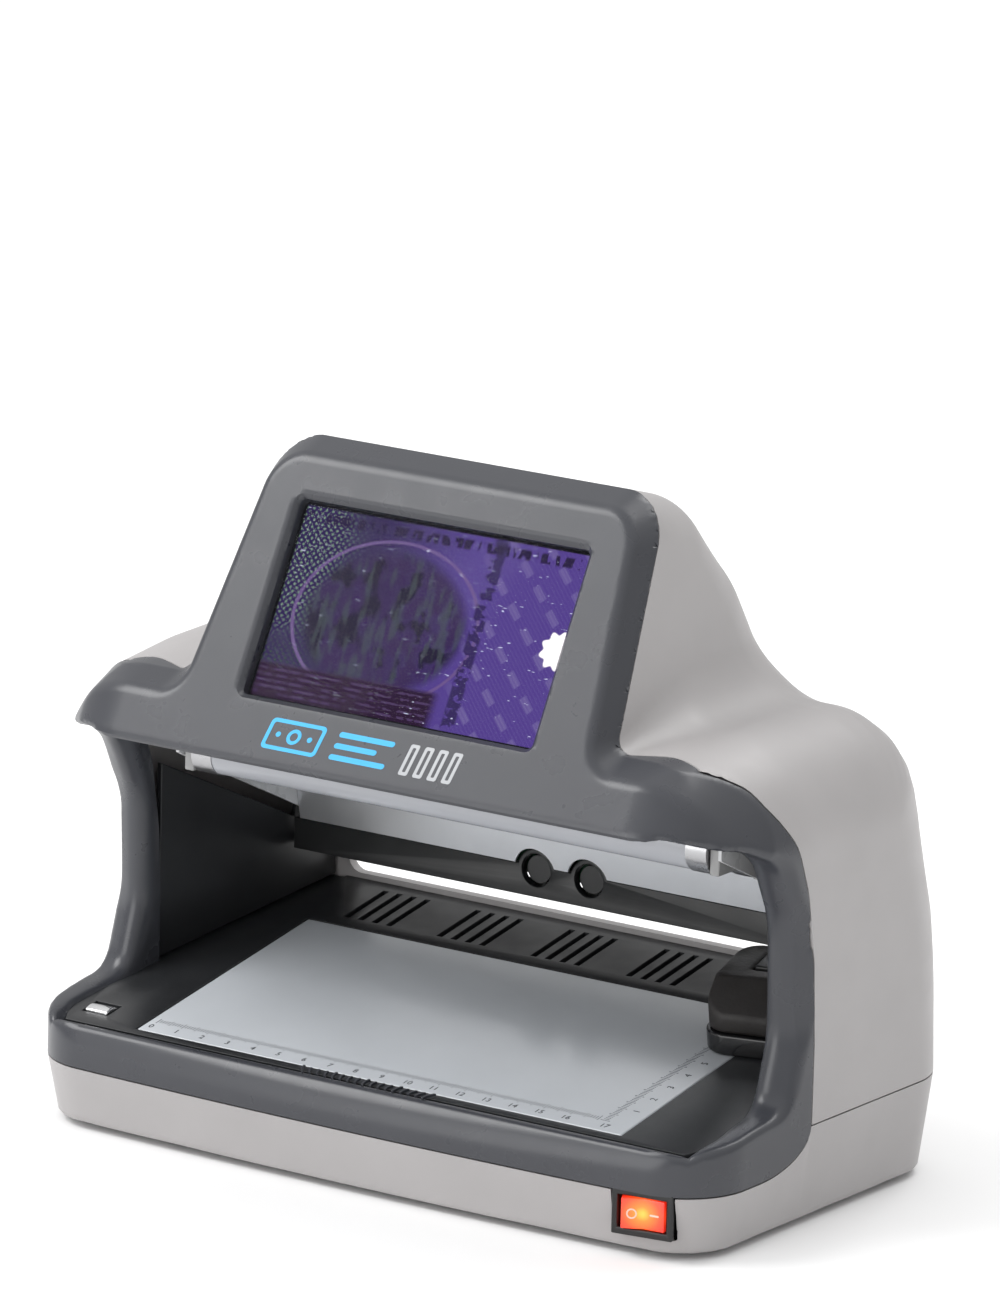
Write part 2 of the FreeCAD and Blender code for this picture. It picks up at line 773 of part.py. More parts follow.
# ---------------------------------------------------------------- power side, in the base
power_y = 96.0
keep(block("power_board", -60, behind_lip(power_y), 9, 78, 34, 1.6))
power_posts = []
for x in (-95, -25):
    for away in (power_y + 4, power_y + 30):
        power_posts.append(rod(hidden("Post"), x, behind_lip(away), 5.05, 3, 3.9))
keep(group("power_posts", *power_posts))
parts_on_board = [
    block(hidden("Coil"), -84, behind_lip(power_y + 8), 10.8, 18, 16, 14),
    block(hidden("Relay"), -60, behind_lip(power_y + 8), 10.8, 14, 14, 11),
    rod(hidden("Capacitor"), -42, behind_lip(power_y + 12), 10.8, 5, 16),
    rod(hidden("Capacitor"), -30, behind_lip(power_y + 22), 10.8, 4, 12),
]
keep(group("power_parts", *parts_on_board))
socket_y = depth - 15
dc_block = block(hidden("Jack"), jack_x, behind_lip(socket_y), 10.8, 11, 14.6, 11)
dc_hole = rod(hidden("Jack"), jack_x, behind_lip(depth + 1), 16.3, 3.1, 11, (0, -1, 0))
dc_whole = cut(hidden("JackBody"), dc_block, dc_hole)
dc_pin = rod(hidden("Jack"), jack_x, behind_lip(depth - 0.6), 16.3, 1.0, 10, (0, -1, 0))
keep(fused("power_socket", dc_whole, dc_pin))
port_body = block(hidden("Port"), port_x, behind_lip(socket_y), 10.8, 14, 14.6, 8)
port_hole = block(hidden("Port"), port_x, behind_lip(depth - 10), 12, 12, 12, 5.6)
keep(cut("accessory_socket", port_body, port_hole))
keep(rod("speaker", speaker_place[0], behind_lip(speaker_place[1]), 5.2, 18, 5))


# ---------------------------------------------------------------- rocker switch
# A snap-in rocker switch: a black collar, a red rocker on a vertical pin, and blade contacts.
pivot_y = 1.5
collar = block(hidden("Collar"), 0, -1.8, 0, switch_wide, 1.8, switch_tall, switch_frame)
case = block(hidden("Case"), 0, -0.1, 1.2, switch_wide - 2, 12, switch_tall - 2.4, switch_frame)
well = block(hidden("Well"), 0, -3, 2.2, 16.8, 11, switch_tall - 4.4, switch_frame)
keep(cut("switch_collar", fused(hidden("CollarSolid"), collar, case), well))
rocker = new_body("switch_rocker")
rocker_loop = [
    (as_size(-7.0), as_size(-4.1)),
    (as_size(0), as_size(-2.7)),
    (as_size(7.0), as_size(-4.1)),
    (as_size(7.8), as_size(0)),
    (as_size(2.5), as_size(3.4)),
    (as_size(-2.5), as_size(3.4)),
    (as_size(-7.8), as_size(0)),
]
pad(rocker, "XY_Plane", [rocker_loop], switch_tall - 5, 2.5, symmetric=False)
on_turn = 8.0
pivot = Placement(Vector(0, pivot_y, 0), Rotation(Vector(0, 0, 1), on_turn))
rocker.Placement = switch_frame.multiply(pivot)
keep(rocker)
blades = [
    block(hidden("Blade"), x, 12, 4, 0.8, 7, 6.3, switch_frame) for x in (-6.5, 0, 6.5)
]
keep(group("switch_blades", *blades))


# ---------------------------------------------------------------- magnetic head
# A small chromed read head under a window at the tray's left front, pushed up by a spring.
head_place = tray_frame.multVec(Vector(head_x, head_y + 4.2, 0))
head_round = 6.0
head_top = head_place.z + 0.9
roller = doc.addObject("Part::Common", "HeadDome")
dome_low = head_top - head_round
roller.Base = rod(hidden("Dome"), head_x - 4.4, head_place.y, dome_low, head_round, 8.8, (1, 0, 0))
roller.Tool = block(hidden("Dome"), head_x, head_place.y - 3.4, head_top - 5, 9, 6.8, 6)
stem_low = head_top - 10
stem = block(hidden("Stem"), head_x, head_place.y - 3.4, stem_low, 8.8, 6.8, 5.2)
keep(fused("magnetic_head", roller, stem))
spring_low = stem_low - 8
spring_body = rod(hidden("Spring"), head_x, head_place.y, spring_low, 2.6, 8)
keep(cut("head_spring", spring_body, rod(hidden("Spring"), head_x, head_place.y, spring_low - 1, 1.9, 10)))
guide_body = block(hidden("Guide"), head_x, head_place.y - 6, spring_low - 2, 14, 12, 13)
guide_well = block(hidden("Guide"), head_x, head_place.y - 3.8, spring_low, 9.4, 7.6, 20)
keep(cut("head_guide", guide_body, guide_well))


# ---------------------------------------------------------------- hand viewer
# The loose hand-held viewer parked on the right of the tray: a skirt, a grippy cover and a button.
viewer_frame = tray_frame.multiply(
    Placement(Vector(98.6, 66, 0.3), Rotation(Vector(0, 0, 1), side_flare))
)
skirt_tall = 7.0
viewer_skirt = new_body("viewer_skirt")
pad(
    viewer_skirt,
    "XY_Plane",
    [plate(as_size(0), as_size(0), viewer_wide, viewer_long)],
    skirt_tall,
    0,
    symmetric=False,
)
fillet_edges(viewer_skirt, 9, upright)
lens_hole = [(as_size(0), as_size(18), as_size(9))]
pocket(viewer_skirt, "XY_Plane", lens_hole, 4, 0, symmetric=False)
viewer_skirt.Placement = viewer_frame
keep(viewer_skirt)
keep(rod("viewer_lens", 0, 18, 0.6, 8.8, 3.2, (0, 0, 1), viewer_frame))
viewer_cover = new_body("viewer_cover")
cover_tall = viewer_tall - skirt_tall - 3
pad(
    viewer_cover,
    "XY_Plane",
    [plate(as_size(0), as_size(1), viewer_wide - 2, viewer_long - 2)],
    cover_tall,
    skirt_tall + 0.1,
    symmetric=False,
)
fillet_edges(viewer_cover, 8, upright)
slope_cut = [
    (as_size(-1), as_size(skirt_tall + 5)),
    (as_size(14), as_size(skirt_tall) + cover_tall + 0.2),
    (as_size(14), as_size(40)),
    (as_size(-1), as_size(40)),
]
pocket(viewer_cover, "YZ_Plane", [slope_cut], 80)
button_hole = [plate(as_size(0), as_size(20), 10.8, 12.8)]
pocket(viewer_cover, "XY_Plane", button_hole, 10, skirt_tall + 8, symmetric=False)
viewer_cover.Placement = viewer_frame
keep(viewer_cover)
button_low = skirt_tall + 9.6
keep(block("viewer_button", 0, 20.4, button_low, 10, 12, 6.2, viewer_frame))


# ---------------------------------------------------------------- feet and screws
feet = []
for x, away in foot_places:
    feet.append(rod(hidden("Foot"), x, behind_lip(away), 0, 7, foot_tall))
keep(group("rubber_feet", *feet))
screws = []
for x, away in base_screw_places:
    shank = rod(hidden("Shank"), x, behind_lip(away), foot_tall, 1.5, 10)
    screws.append(shank)
keep(group("base_screws", *screws))


# ---------------------------------------------------------------- writing the parts
doc.recompute()
for item in doc.Objects:
    for word in ("Invalid", "Error"):
        if word in item.State:
            raise ValueError(f"{item.Label} is in state {item.State}")
for item in nodes:
    if item.Shape.isNull() or not item.Shape.isValid():
        raise ValueError(f"{item.Label} has no valid shape")
os.makedirs("parts", exist_ok=True)
for item in nodes:
    item.Shape.exportStep(f"parts/{item.Label}.step")
    box = item.Shape.BoundBox
    print(item.Label, len(item.Shape.Solids), [round(number, 1) for number in (
        box.XMin, box.XMax, box.YMin, box.YMax, box.ZMin, box.ZMax)])
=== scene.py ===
"""Looks of a desktop counterfeit bill detector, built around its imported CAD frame."""

import math

import bmesh
import bpy
import numpy as np
from mathutils import Matrix, Vector


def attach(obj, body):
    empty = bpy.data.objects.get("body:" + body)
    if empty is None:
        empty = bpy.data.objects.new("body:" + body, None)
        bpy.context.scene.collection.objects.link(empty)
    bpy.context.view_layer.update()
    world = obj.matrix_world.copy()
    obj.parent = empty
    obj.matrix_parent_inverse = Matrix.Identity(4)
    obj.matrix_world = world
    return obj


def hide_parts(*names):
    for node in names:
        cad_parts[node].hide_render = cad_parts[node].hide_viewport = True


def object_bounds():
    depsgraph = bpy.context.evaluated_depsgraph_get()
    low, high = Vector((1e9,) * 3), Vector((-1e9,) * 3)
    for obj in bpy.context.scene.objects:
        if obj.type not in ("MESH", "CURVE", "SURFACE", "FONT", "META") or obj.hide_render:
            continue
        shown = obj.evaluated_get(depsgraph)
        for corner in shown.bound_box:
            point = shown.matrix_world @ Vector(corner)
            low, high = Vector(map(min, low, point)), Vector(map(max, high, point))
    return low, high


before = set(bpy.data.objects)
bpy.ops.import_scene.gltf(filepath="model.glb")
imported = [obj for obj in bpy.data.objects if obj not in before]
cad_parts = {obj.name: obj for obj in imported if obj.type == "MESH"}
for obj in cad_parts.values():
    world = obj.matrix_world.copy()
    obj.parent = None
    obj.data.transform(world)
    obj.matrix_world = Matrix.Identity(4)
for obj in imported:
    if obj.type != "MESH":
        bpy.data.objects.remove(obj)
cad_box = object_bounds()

scene = bpy.context.scene
scene.view_settings.view_transform = "Standard"


# ---------------------------------------------------------------- studio
# A flat pale floor, a large soft lamp high on the left, a weaker one low
# in front for the base and the lip, and one above and behind for the shoulders.
camera_place = Vector((1.6357, -2.4858, 0.9316))
camera_axes = Matrix(
    (
        (0.8321, -0.1582, 0.5315),
        (0.5540, 0.1953, -0.8093),
        (0.0242, 0.9679, 0.2501),
    )
)
camera_data = bpy.data.cameras.new("camera")
camera_data.lens = 265.2
camera_data.sensor_width = 36
camera_data.clip_start = 0.1
camera_data.clip_end = 50
camera = bpy.data.objects.new("camera", camera_data)
camera.matrix_world = Matrix.LocRotScale(camera_place, camera_axes.to_quaternion(), None)
scene.collection.objects.link(camera)
scene.camera = camera

world = bpy.data.worlds.new("studio")
scene.world = world
world.use_nodes = True
sky = world.node_tree.nodes
sky_links = world.node_tree.links
sky_height = sky.new("ShaderNodeSeparateXYZ")
sky_links.new(sky.new("ShaderNodeTexCoord").outputs["Generated"], sky_height.inputs["Vector"])
sky_light = sky.new("ShaderNodeMapRange")
sky_light.inputs["From Min"].default_value = 0.0
sky_light.inputs["From Max"].default_value = 0.9
sky_light.inputs["To Min"].default_value = 0.5
sky_light.inputs["To Max"].default_value = 1.0
sky_links.new(sky_height.outputs["Z"], sky_light.inputs["Value"])
sky_links.new(sky_light.outputs["Result"], sky["Background"].inputs["Strength"])
sky["Background"].inputs["Color"].default_value = (1, 1, 1, 1)

for name, place, target, size, power in (
    ("key", (-1.45, -0.98, 1.9), (0, 0, 0.1), 1.3, 34),
    ("fill", (-0.8, -2.4, 0.7), (0, 0, 0.1), 1.4, 18),
    ("crown", (0.3, 1.3, 2.1), (0, 0, 0.15), 1.2, 18),
):
    lamp_data = bpy.data.lights.new(name, "AREA")
    lamp_data.shape = "SQUARE"
    lamp_data.size = size
    lamp_data.energy = power
    lamp = bpy.data.objects.new(name, lamp_data)
    aim = Vector(target) - Vector(place)
    turn = aim.to_track_quat("-Z", "Y")
    lamp.matrix_world = Matrix.LocRotScale(Vector(place), turn, None)
    scene.collection.objects.link(lamp)


def new_object(name, vertices, faces):
    mesh = bpy.data.meshes.new(name)
    mesh.from_pydata([tuple(v) for v in vertices], [], [tuple(f) for f in faces])
    made = bpy.data.objects.new(name, mesh)
    scene.collection.objects.link(made)
    return made


floor_half = 6
floor = new_object(
    "floor",
    [
        (-floor_half, -floor_half, 0),
        (floor_half, -floor_half, 0),
        (floor_half, floor_half, 0),
        (-floor_half, floor_half, 0),
    ],
    [(0, 1, 2, 3)],
)
floor_finish = bpy.data.materials.new("floor_paper")
floor_finish.use_nodes = True
floor_finish.node_tree.nodes["Principled BSDF"].inputs["Base Color"].default_value = (0.93, 0.93, 0.93, 1)
floor_finish.node_tree.nodes["Principled BSDF"].inputs["Roughness"].default_value = 0.8
floor.data.materials.append(floor_finish)


# ---------------------------------------------------------------- casing
# The casing is injection moulded in three shells that share one outer form: a low broad body
# with a narrower hood on top, cut along a seam near the table and a parting line at the front.
MM = 0.001
lip_y = cad_box[0].y / MM
half_front = 130.8
flare = 0.039
seam_height = 34
shell_wall = 3.6
seam_gap = 0.25
parting_depth = 62.5
face_depth = 14.3
face_half = 109
rim_out = 4.2
rim_back = 7.5
face_height = 153.7
face_lean = math.radians(28.5)
face_sin = math.sin(face_lean)
face_cos = math.cos(face_lean)


def round_max(a, b, radius):
    """What two fields share, with the outer corner between them rounded."""
    corner = np.hypot(np.maximum(a + radius, 0), np.maximum(b + radius, 0))
    return np.minimum(np.maximum(a, b), -radius) + corner


def round_min(a, b, radius):
    """Two fields joined, with the inner corner between them filled."""
    return -round_max(-a, -b, radius)


def ramp(value, start, end):
    """0 before start, 1 after end, and a smooth rise between them."""
    share = np.clip((value - start) / (end - start), 0, 1)
    return share * share * (3 - 2 * share)


def rounded_outline(corners, steps=6):
    """A closed outline from (u, v, radius) corners, each with its arc."""
    points = []
    for index, (u, v, radius) in enumerate(corners):
        here = Vector((u, v))
        before = Vector(corners[index - 1][:2]) - here
        after = Vector(corners[(index + 1) % len(corners)][:2]) - here
        if radius == 0:
            points.append((u, v))
            continue
        half_turn = before.angle(after) / 2
        reach = min(radius / math.tan(half_turn), 0.49 * before.length, 0.49 * after.length)
        start = here + before.normalized() * reach
        end = here + after.normalized() * reach
        for step in range(steps + 1):
            share = step / steps
            bend = start * (1 - share) ** 2 + here * (2 * share * (1 - share)) + end * share**2
            points.append((bend.x, bend.y))
    return points


def outline_field(points, u, v):
    """How far (u, v) lies outside a closed outline; less than nothing inside it."""
    nearest = np.inf
    inside = np.zeros(np.broadcast(u, v).shape, bool)
    for (au, av), (bu, bv) in zip(points, points[1:] + points[:1]):
        run_u = bu - au
        run_v = bv - av
        length = run_u**2 + run_v**2
        if length < 1e-9:
            continue
        share = np.clip(((u - au) * run_u + (v - av) * run_v) / length, 0, 1)
        gap = (u - au - share * run_u) ** 2 + (v - av - share * run_v) ** 2
        nearest = np.minimum(nearest, gap)
        if abs(run_v) > 1e-9:
            crosses = ((av > v) != (bv > v)) & (u < run_u * (v - av) / run_v + au)
            inside = inside ^ crosses
    return np.where(inside, -1, 1) * np.sqrt(nearest)


def box_field(u, v, half_u, half_v, radius):
    """A rectangle about the origin with rounded corners."""
    over_u = np.abs(u) - half_u + radius
    over_v = np.abs(v) - half_v + radius
    corner = np.hypot(np.maximum(over_u, 0), np.maximum(over_v, 0))
    return np.minimum(np.maximum(over_u, over_v), 0) + corner - radius


def moulded(name, field, low, high, pitch, crease=38):
    """The closed surface where a field of (x, depth, height) in millimetres is nothing.
    Each cell that it crosses gets one point, where the tangent planes in the cell meet."""
    axes = [np.arange(a - pitch, b + 2 * pitch, pitch) + pitch / 3 for a, b in zip(low, high)]
    grids = np.meshgrid(*axes, indexing="ij", sparse=True)
    value = np.broadcast_to(field(*grids), [len(a) for a in axes])
    shape = np.array(value.shape)
    inside = value < 0
    crossings = []
    for axis in range(3):
        near = [slice(None)] * 3
        far = [slice(None)] * 3
        near[axis] = slice(None, -1)
        far[axis] = slice(1, None)
        found = np.argwhere(inside[tuple(near)] != inside[tuple(far)])
        step = np.zeros(3, int)
        step[axis] = 1
        a = value[tuple(found.T)]
        b = value[tuple((found + step).T)]
        start = np.stack([axes[k][found[:, k]] for k in range(3)], 1)
        low_end = np.zeros(len(found))
        high_end = np.ones(len(found))
        low_value = a
        high_value = b
        for _ in range(5):
            share = low_end + (high_end - low_end) * low_value / (low_value - high_value)
            point = start + share[:, None] * step * pitch
            here = field(*point.T)
            same = (here < 0) == (a < 0)
            low_end = np.where(same, share, low_end)
            low_value = np.where(same, here, low_value * 0.7)
            high_end = np.where(same, high_end, share)
            high_value = np.where(same, high_value * 0.7, here)
        point = start + share[:, None] * step * pitch
        reach = pitch * 0.05
        slope = np.zeros_like(point)
        for k in range(3):
            ahead = point.copy()
            behind = point.copy()
            ahead[:, k] += reach
            behind[:, k] -= reach
            slope[:, k] = field(*ahead.T) - field(*behind.T)
        slope /= np.maximum(np.linalg.norm(slope, axis=1, keepdims=True), 1e-9)
        crossings.append((axis, found, a < 0, point, slope))
    cells, quads = [], []
    normals, planes, points = [], [], []
    for axis, found, _, point, slope in crossings:
        second = (axis + 1) % 3
        third = (axis + 2) % 3
        for back_second, back_third in ((0, 0), (1, 0), (1, 1), (0, 1)):
            cell = found.copy()
            cell[:, second] -= back_second
            cell[:, third] -= back_third
            cells.append(np.ravel_multi_index(cell.T, shape))
            normals.append(slope)
            points.append(point)
    cells = np.concatenate(cells)
    normals = np.concatenate(normals)
    points = np.concatenate(points)
    kept, number = np.unique(cells, return_inverse=True)
    count = np.bincount(number)[:, None]
    middle = np.stack([np.bincount(number, points[:, k]) for k in range(3)], 1) / count
    offset = np.einsum("ij,ij->i", normals, points - middle[number])
    outer = np.einsum("ij,ik->ijk", normals, normals).reshape(-1, 9)
    squares = np.stack([np.bincount(number, outer[:, k]) for k in range(9)], 1).reshape(-1, 3, 3)
    right = np.stack([np.bincount(number, normals[:, k] * offset) for k in range(3)], 1)
    squares += np.eye(3) * 0.08
    shift = np.linalg.solve(squares, right[:, :, None])[:, :, 0]
    corner = np.stack(np.unravel_index(kept, shape), 1)
    floor_corner = np.stack([axes[k][corner[:, k]] for k in range(3)], 1)
    vertex = np.clip(middle + shift, floor_corner - 0.1 * pitch, floor_corner + 1.1 * pitch)
    start = 0
    for axis, found, first_inside, _, _ in crossings:
        ring = number[start : start + 4 * len(found)].reshape(4, -1).T
        start += 4 * len(found)
        quads.append(np.where(first_inside[:, None], ring, ring[:, ::-1]))
    quads = np.concatenate(quads)
    vertex[:, 1] += lip_y
    vertex *= MM
    mesh = bpy.data.meshes.new(name)
    mesh.from_pydata(vertex.tolist(), [], quads.tolist())
    mesh.shade_smooth()
    mesh.set_sharp_from_angle(angle=math.radians(crease))
    made = bpy.data.objects.new(name, mesh)
    scene.collection.objects.link(made)
    return made


def half_width(d):
    return half_front + flare * d


def face_field(d, z):
    """How far a place stands out from the plane of the leaning face."""
    return (z - face_height) * face_sin - (d - face_depth) * face_cos


def up_face(d, z):
    """How far up the leaning face a place is, from the bottom edge of the screen."""
    return (z - face_height) * face_cos + (d - face_depth) * face_sin


shoulder_side = rounded_outline(
    [
        (-60, -30, 0),
        (151.3, -30, 0),
        (151, 34, 0),
        (147.8, 90, 60),
        (135.6, 157, 46),
        (60, 157, 60),
        (14, 153.5, 0),
        (-60, 150, 0),
    ]
)
hump_side = rounded_outline(
    [
        (-60, 90, 0),
        (100, 90, 0),
        (138, 110, 0),
        (143, 120, 5),
        (131, 160, 80),
        (113, 195, 40),
        (88, 221, 24),
        (64, 227.9, 14),
        (-60, 227.9, 0),
    ]
)


def body_field(x, d, z):
    """The outer form of the whole casing."""
    across = np.abs(x)
    face = face_field(d, z)
    front = round_max(face, (across - face_half + face) * math.sqrt(0.5), 9)
    side = across - half_width(d)
    broad = round_max(side, outline_field(shoulder_side, d, z), 27 + 8 * ramp(z, 60, 130))
    hood_half = 81 - 9 * (z - face_height) / 74.3
    hood_side = (across - hood_half) * 0.993
    hood_round = 15 + 8 * ramp(d, 62, 105)
    hood = round_max(hood_side, outline_field(hump_side, d, z), hood_round)
    hollow = 5 + 13 * ramp(-face, 8, 42) * ramp(z, 126, 152)
    whole = round_min(broad, hood, hollow)
    rim = (whole + rim_out + rim_out / rim_back * front) / math.hypot(1, rim_out / rim_back)
    whole = np.maximum(whole, round_max(rim, front, 1.6))
    bow = 1.6 * (across / 90) ** 2
    ends = round_max(side, front, 8)
    lip = round_max(side, bow + 0.05 - d, 22)
    return np.maximum(np.maximum(whole, ends), lip)


parting_side = [
    (parting_depth, -40),
    (parting_depth, seam_height),
    (parting_depth, 60),
    (60.8, 88),
    (56.6, 111),
    (50, 128),
    (38, 145),
    (23, 152),
    (60, 220),
    (66, 231),
    (110, 312),
    (200, 312),
    (200, -40),
]
parting_side = rounded_outline([(d, z, 25 if 60 <= z <= 150 else 0) for d, z in parting_side], 9)


def parting_field(x, d, z):
    """Less than nothing on the upper shell's side of the parting line."""
    wrap = 6 * ramp(np.abs(x), 80, 100) * ramp(z, 140, 152)
    return outline_field(parting_side, d - wrap, z)


def grained(name, colour, roughness, grain_mm=0.35, depth=0.1, mottle=0.06, sheen_spread=0.08):
    """A moulded plastic: a fine spark-eroded grain, faint clouds of tone and an uneven gloss."""
    material = bpy.data.materials.new(name)
    material.use_nodes = True
    nodes = material.node_tree.nodes
    links = material.node_tree.links
    shader = nodes["Principled BSDF"]
    place = nodes.new("ShaderNodeTexCoord").outputs["Object"]

    def noise(scale, detail):
        made = nodes.new("ShaderNodeTexNoise")
        made.inputs["Scale"].default_value = scale
        made.inputs["Detail"].default_value = detail
        links.new(place, made.inputs["Vector"])
        return made.outputs["Fac"]

    def spread(source, low, high):
        made = nodes.new("ShaderNodeMapRange")
        made.inputs["From Min"].default_value = 0.3
        made.inputs["From Max"].default_value = 0.7
        made.inputs["To Min"].default_value = low
        made.inputs["To Max"].default_value = high
        links.new(source, made.inputs["Value"])
        return made.outputs["Result"]

    tone = nodes.new("ShaderNodeMix")
    tone.data_type = "RGBA"
    tone.inputs["A"].default_value = (*[c * (1 - mottle) for c in colour], 1)
    tone.inputs["B"].default_value = (*[min(1, c * (1 + mottle)) for c in colour], 1)
    links.new(spread(noise(38, 4), 0, 1), tone.inputs["Factor"])
    links.new(tone.outputs["Result"], shader.inputs["Base Color"])
    gloss = spread(noise(95, 3), roughness - sheen_spread, roughness + sheen_spread)
    links.new(gloss, shader.inputs["Roughness"])
    bump = nodes.new("ShaderNodeBump")
    bump.inputs["Strength"].default_value = depth
    bump.inputs["Distance"].default_value = 0.0002
    links.new(noise(1 / (grain_mm * MM), 2), bump.inputs["Height"])
    links.new(bump.outputs["Normal"], shader.inputs["Normal"])
    return material


light_grey = grained("light_grey_plastic", (0.372, 0.358, 0.358), 0.42, mottle=0.025, sheen_spread=0.04)
graphite = grained("graphite_plastic", (0.043, 0.045, 0.053), 0.29, 0.3, 0.07, 0.03, 0.03)


# ---------------------------------------------------------------- upper shell
# The rear casing, one light grey moulding over the back, shoulders and hood, screwed down to
# the base. It has cooling slots in the back and a wide slot for paper to pass through.
vent_pitch = 7


def upper_shell_field(x, d, z):
    body = body_field(x, d, z)
    wall = np.maximum(body, -(body + shell_wall))
    part = np.maximum(wall, parting_field(x, d, z) + seam_gap)
    part = np.maximum(part, seam_height + seam_gap - z)
    slot = np.maximum(box_field(x, z - 64, 101, 6.5, 5), 110 - d)
    beside = np.mod(x + vent_pitch / 2, vent_pitch) - vent_pitch / 2
    vent = np.maximum(box_field(beside, z - 95, 1.5, 11, 1.4), np.abs(x) - 6.5 * vent_pitch)
    return np.maximum(part, -np.minimum(slot, np.maximum(vent, 110 - d)))


upper_shell = moulded("upper_shell_moulding", upper_shell_field, (-139, 20, 32), (139, 153, 230), 1.5)
upper_shell.data.materials.append(light_grey)
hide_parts("upper_shell")
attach(upper_shell, "housing")


# ---------------------------------------------------------------- front frame
# The graphite front moulding: the lip round the tray, a column at each side and the leaning
# band with the screen's hood. It clips into the upper shell along the parting line.
mouth_side = rounded_outline(
    [
        (-60, 20, 0),
        (-8, 20, 0),
        (4.4, 35.3, 4),
        (12, 36.6, 20),
        (44, 41.5, 12),
        (51.5, 64, 30),
        (50, 100, 30),
        (36, 128, 22),
        (8, 133.2, 30),
        (-60, 134.2, 0),
    ],
    14,
)
lip_height = 21.6
lip_bend = 34
front_wall = 6
bay_half = 118.4
bay_top = 131
screen_half_wide = 55
screen_tall = 65.8


def lip_seam(d):
    """The height of the seam between the lip and the base."""
    share = np.clip((d - lip_bend) / (parting_depth - lip_bend), 0, 1)
    return seam_height - (seam_height - lip_height) * np.sqrt(1 - share**2)


def front_frame_field(x, d, z):
    across = np.abs(x)
    recess = 0.0145 * np.maximum(across - 112, 0) ** 2 * ramp(d, 30, 48)
    basin_half = 124 - 0.125 * (d - 10)
    basin = np.maximum(round_max(across - basin_half, 10.5 - d, 14), z - 60)
    bay = round_max(across - bay_half, z - bay_top, 12)
    bay = np.maximum(bay, np.maximum(12 - d, seam_height - z))
    opening = round_min(outline_field(mouth_side, d - recess, z), bay, 8)
    opening = round_min(opening, basin, 2)
    body = body_field(x, d, z)
    bevel = 3.5 * ramp(z, 45, 75) * (1 - ramp(z, 95, 122))
    form = np.maximum(round_max(body, -opening, 2.8), (body - opening + bevel) * math.sqrt(0.5))
    wall = np.maximum(form, -(form + front_wall))
    rim = np.maximum(face_field(d, z) + 1.6, 0)
    above = up_face(d, z) - screen_tall / 2
    window = box_field(x, above, screen_half_wide, screen_tall / 2, 2) - rim
    wall = np.maximum(wall, -window)
    wall = np.maximum(wall, seam_gap - parting_field(x, d, z))
    return np.maximum(wall, lip_seam(d) + seam_gap - z)


front_frame = moulded("front_frame_moulding", front_frame_field, (-137, -2, 20), (137, 68, 230), 1.25)
front_frame.data.materials.append(graphite)
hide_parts("front_bezel")
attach(front_frame, "housing")


# ---------------------------------------------------------------- base
# The lower half of the casing, a shallow light grey tub on four rubber feet, with a round
# under-edge, a pocket for the mains switch in front and two sockets in the back wall.
foot_tall = 2.5
switch_place = (108.2, 5.2, 7.4)
switch_size = (21, 15)
switch_turn = math.radians(8)
jack_place = (-70, 17)
port_place = (-40, 17)


def base_field(x, d, z):
    across = np.abs(x)
    seam = lip_seam(d)
    draft = 4 * np.clip((seam - z) / (seam - foot_tall), 0, 1)
    toe = draft * (1 - ramp(d, 118, 140) * ramp(-across, -112, -92))
    form = round_max(body_field(x, d, z) + toe, foot_tall - z, 0.9)
    wall = np.maximum(form, -(form + shell_wall))
    part = np.maximum(wall, z - seam + seam_gap)
    along = (x - switch_place[0]) * math.cos(switch_turn) + (d - switch_place[1]) * math.sin(switch_turn)
    above = z - switch_place[2] - switch_size[1] / 2
    notch = box_field(along, above, switch_size[0] / 2 + 0.4, switch_size[1] / 2 + 0.4, 1)
    part = np.maximum(part, -np.maximum(notch, d - 30))
    jack = np.hypot(x - jack_place[0], z - jack_place[1]) - 5.5
    port = box_field(x - port_place[0], z - port_place[1], 7, 6, 1)
    return np.maximum(part, -np.maximum(np.minimum(jack, port), 130 - d))


base = moulded("base_moulding", base_field, (-137, -2, 1), (137, 153, 36), 1.4)
base.data.materials.append(light_grey)
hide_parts("base_shell")
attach(base, "housing")


# ---------------------------------------------------------------- tray and cheeks
# The bottom of the bay, a dark satin moulding that slopes up to the back, with slots for the
# lamps' warm air, and a plain dark cheek screwed in on each side.
def softened(node, finish, width, body="housing", segments=2):
    """A CAD piece with its moulded edges eased: it stands for the sharp one."""
    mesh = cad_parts[node].data.copy()
    mesh.name = f"{node}_eased"
    work = bmesh.new()
    work.from_mesh(mesh)
    bmesh.ops.remove_doubles(work, verts=work.verts, dist=0.00002)
    bmesh.ops.dissolve_limit(work, angle_limit=math.radians(1), verts=work.verts, edges=work.edges)
    work.to_mesh(mesh)
    work.free()
    mesh.materials.clear()
    mesh.materials.append(finish)
    made = bpy.data.objects.new(mesh.name, mesh)
    scene.collection.objects.link(made)
    bevel = made.modifiers.new("edges", "BEVEL")
    bevel.width = width * MM
    bevel.segments = segments
    bevel.limit_method = "ANGLE"
    bevel.angle_limit = math.radians(28)
    bevel.harden_normals = True
    mesh.shade_smooth()
    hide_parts(node)
    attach(made, body)
    return made


dark_satin = grained("dark_satin_plastic", (0.020, 0.021, 0.023), 0.36, 0.3, 0.1, 0.05, 0.05)
softened("work_tray", dark_satin, 0.5)
softened("left_cheek", dark_satin, 0.4)
softened("right_cheek", dark_satin, 0.4)


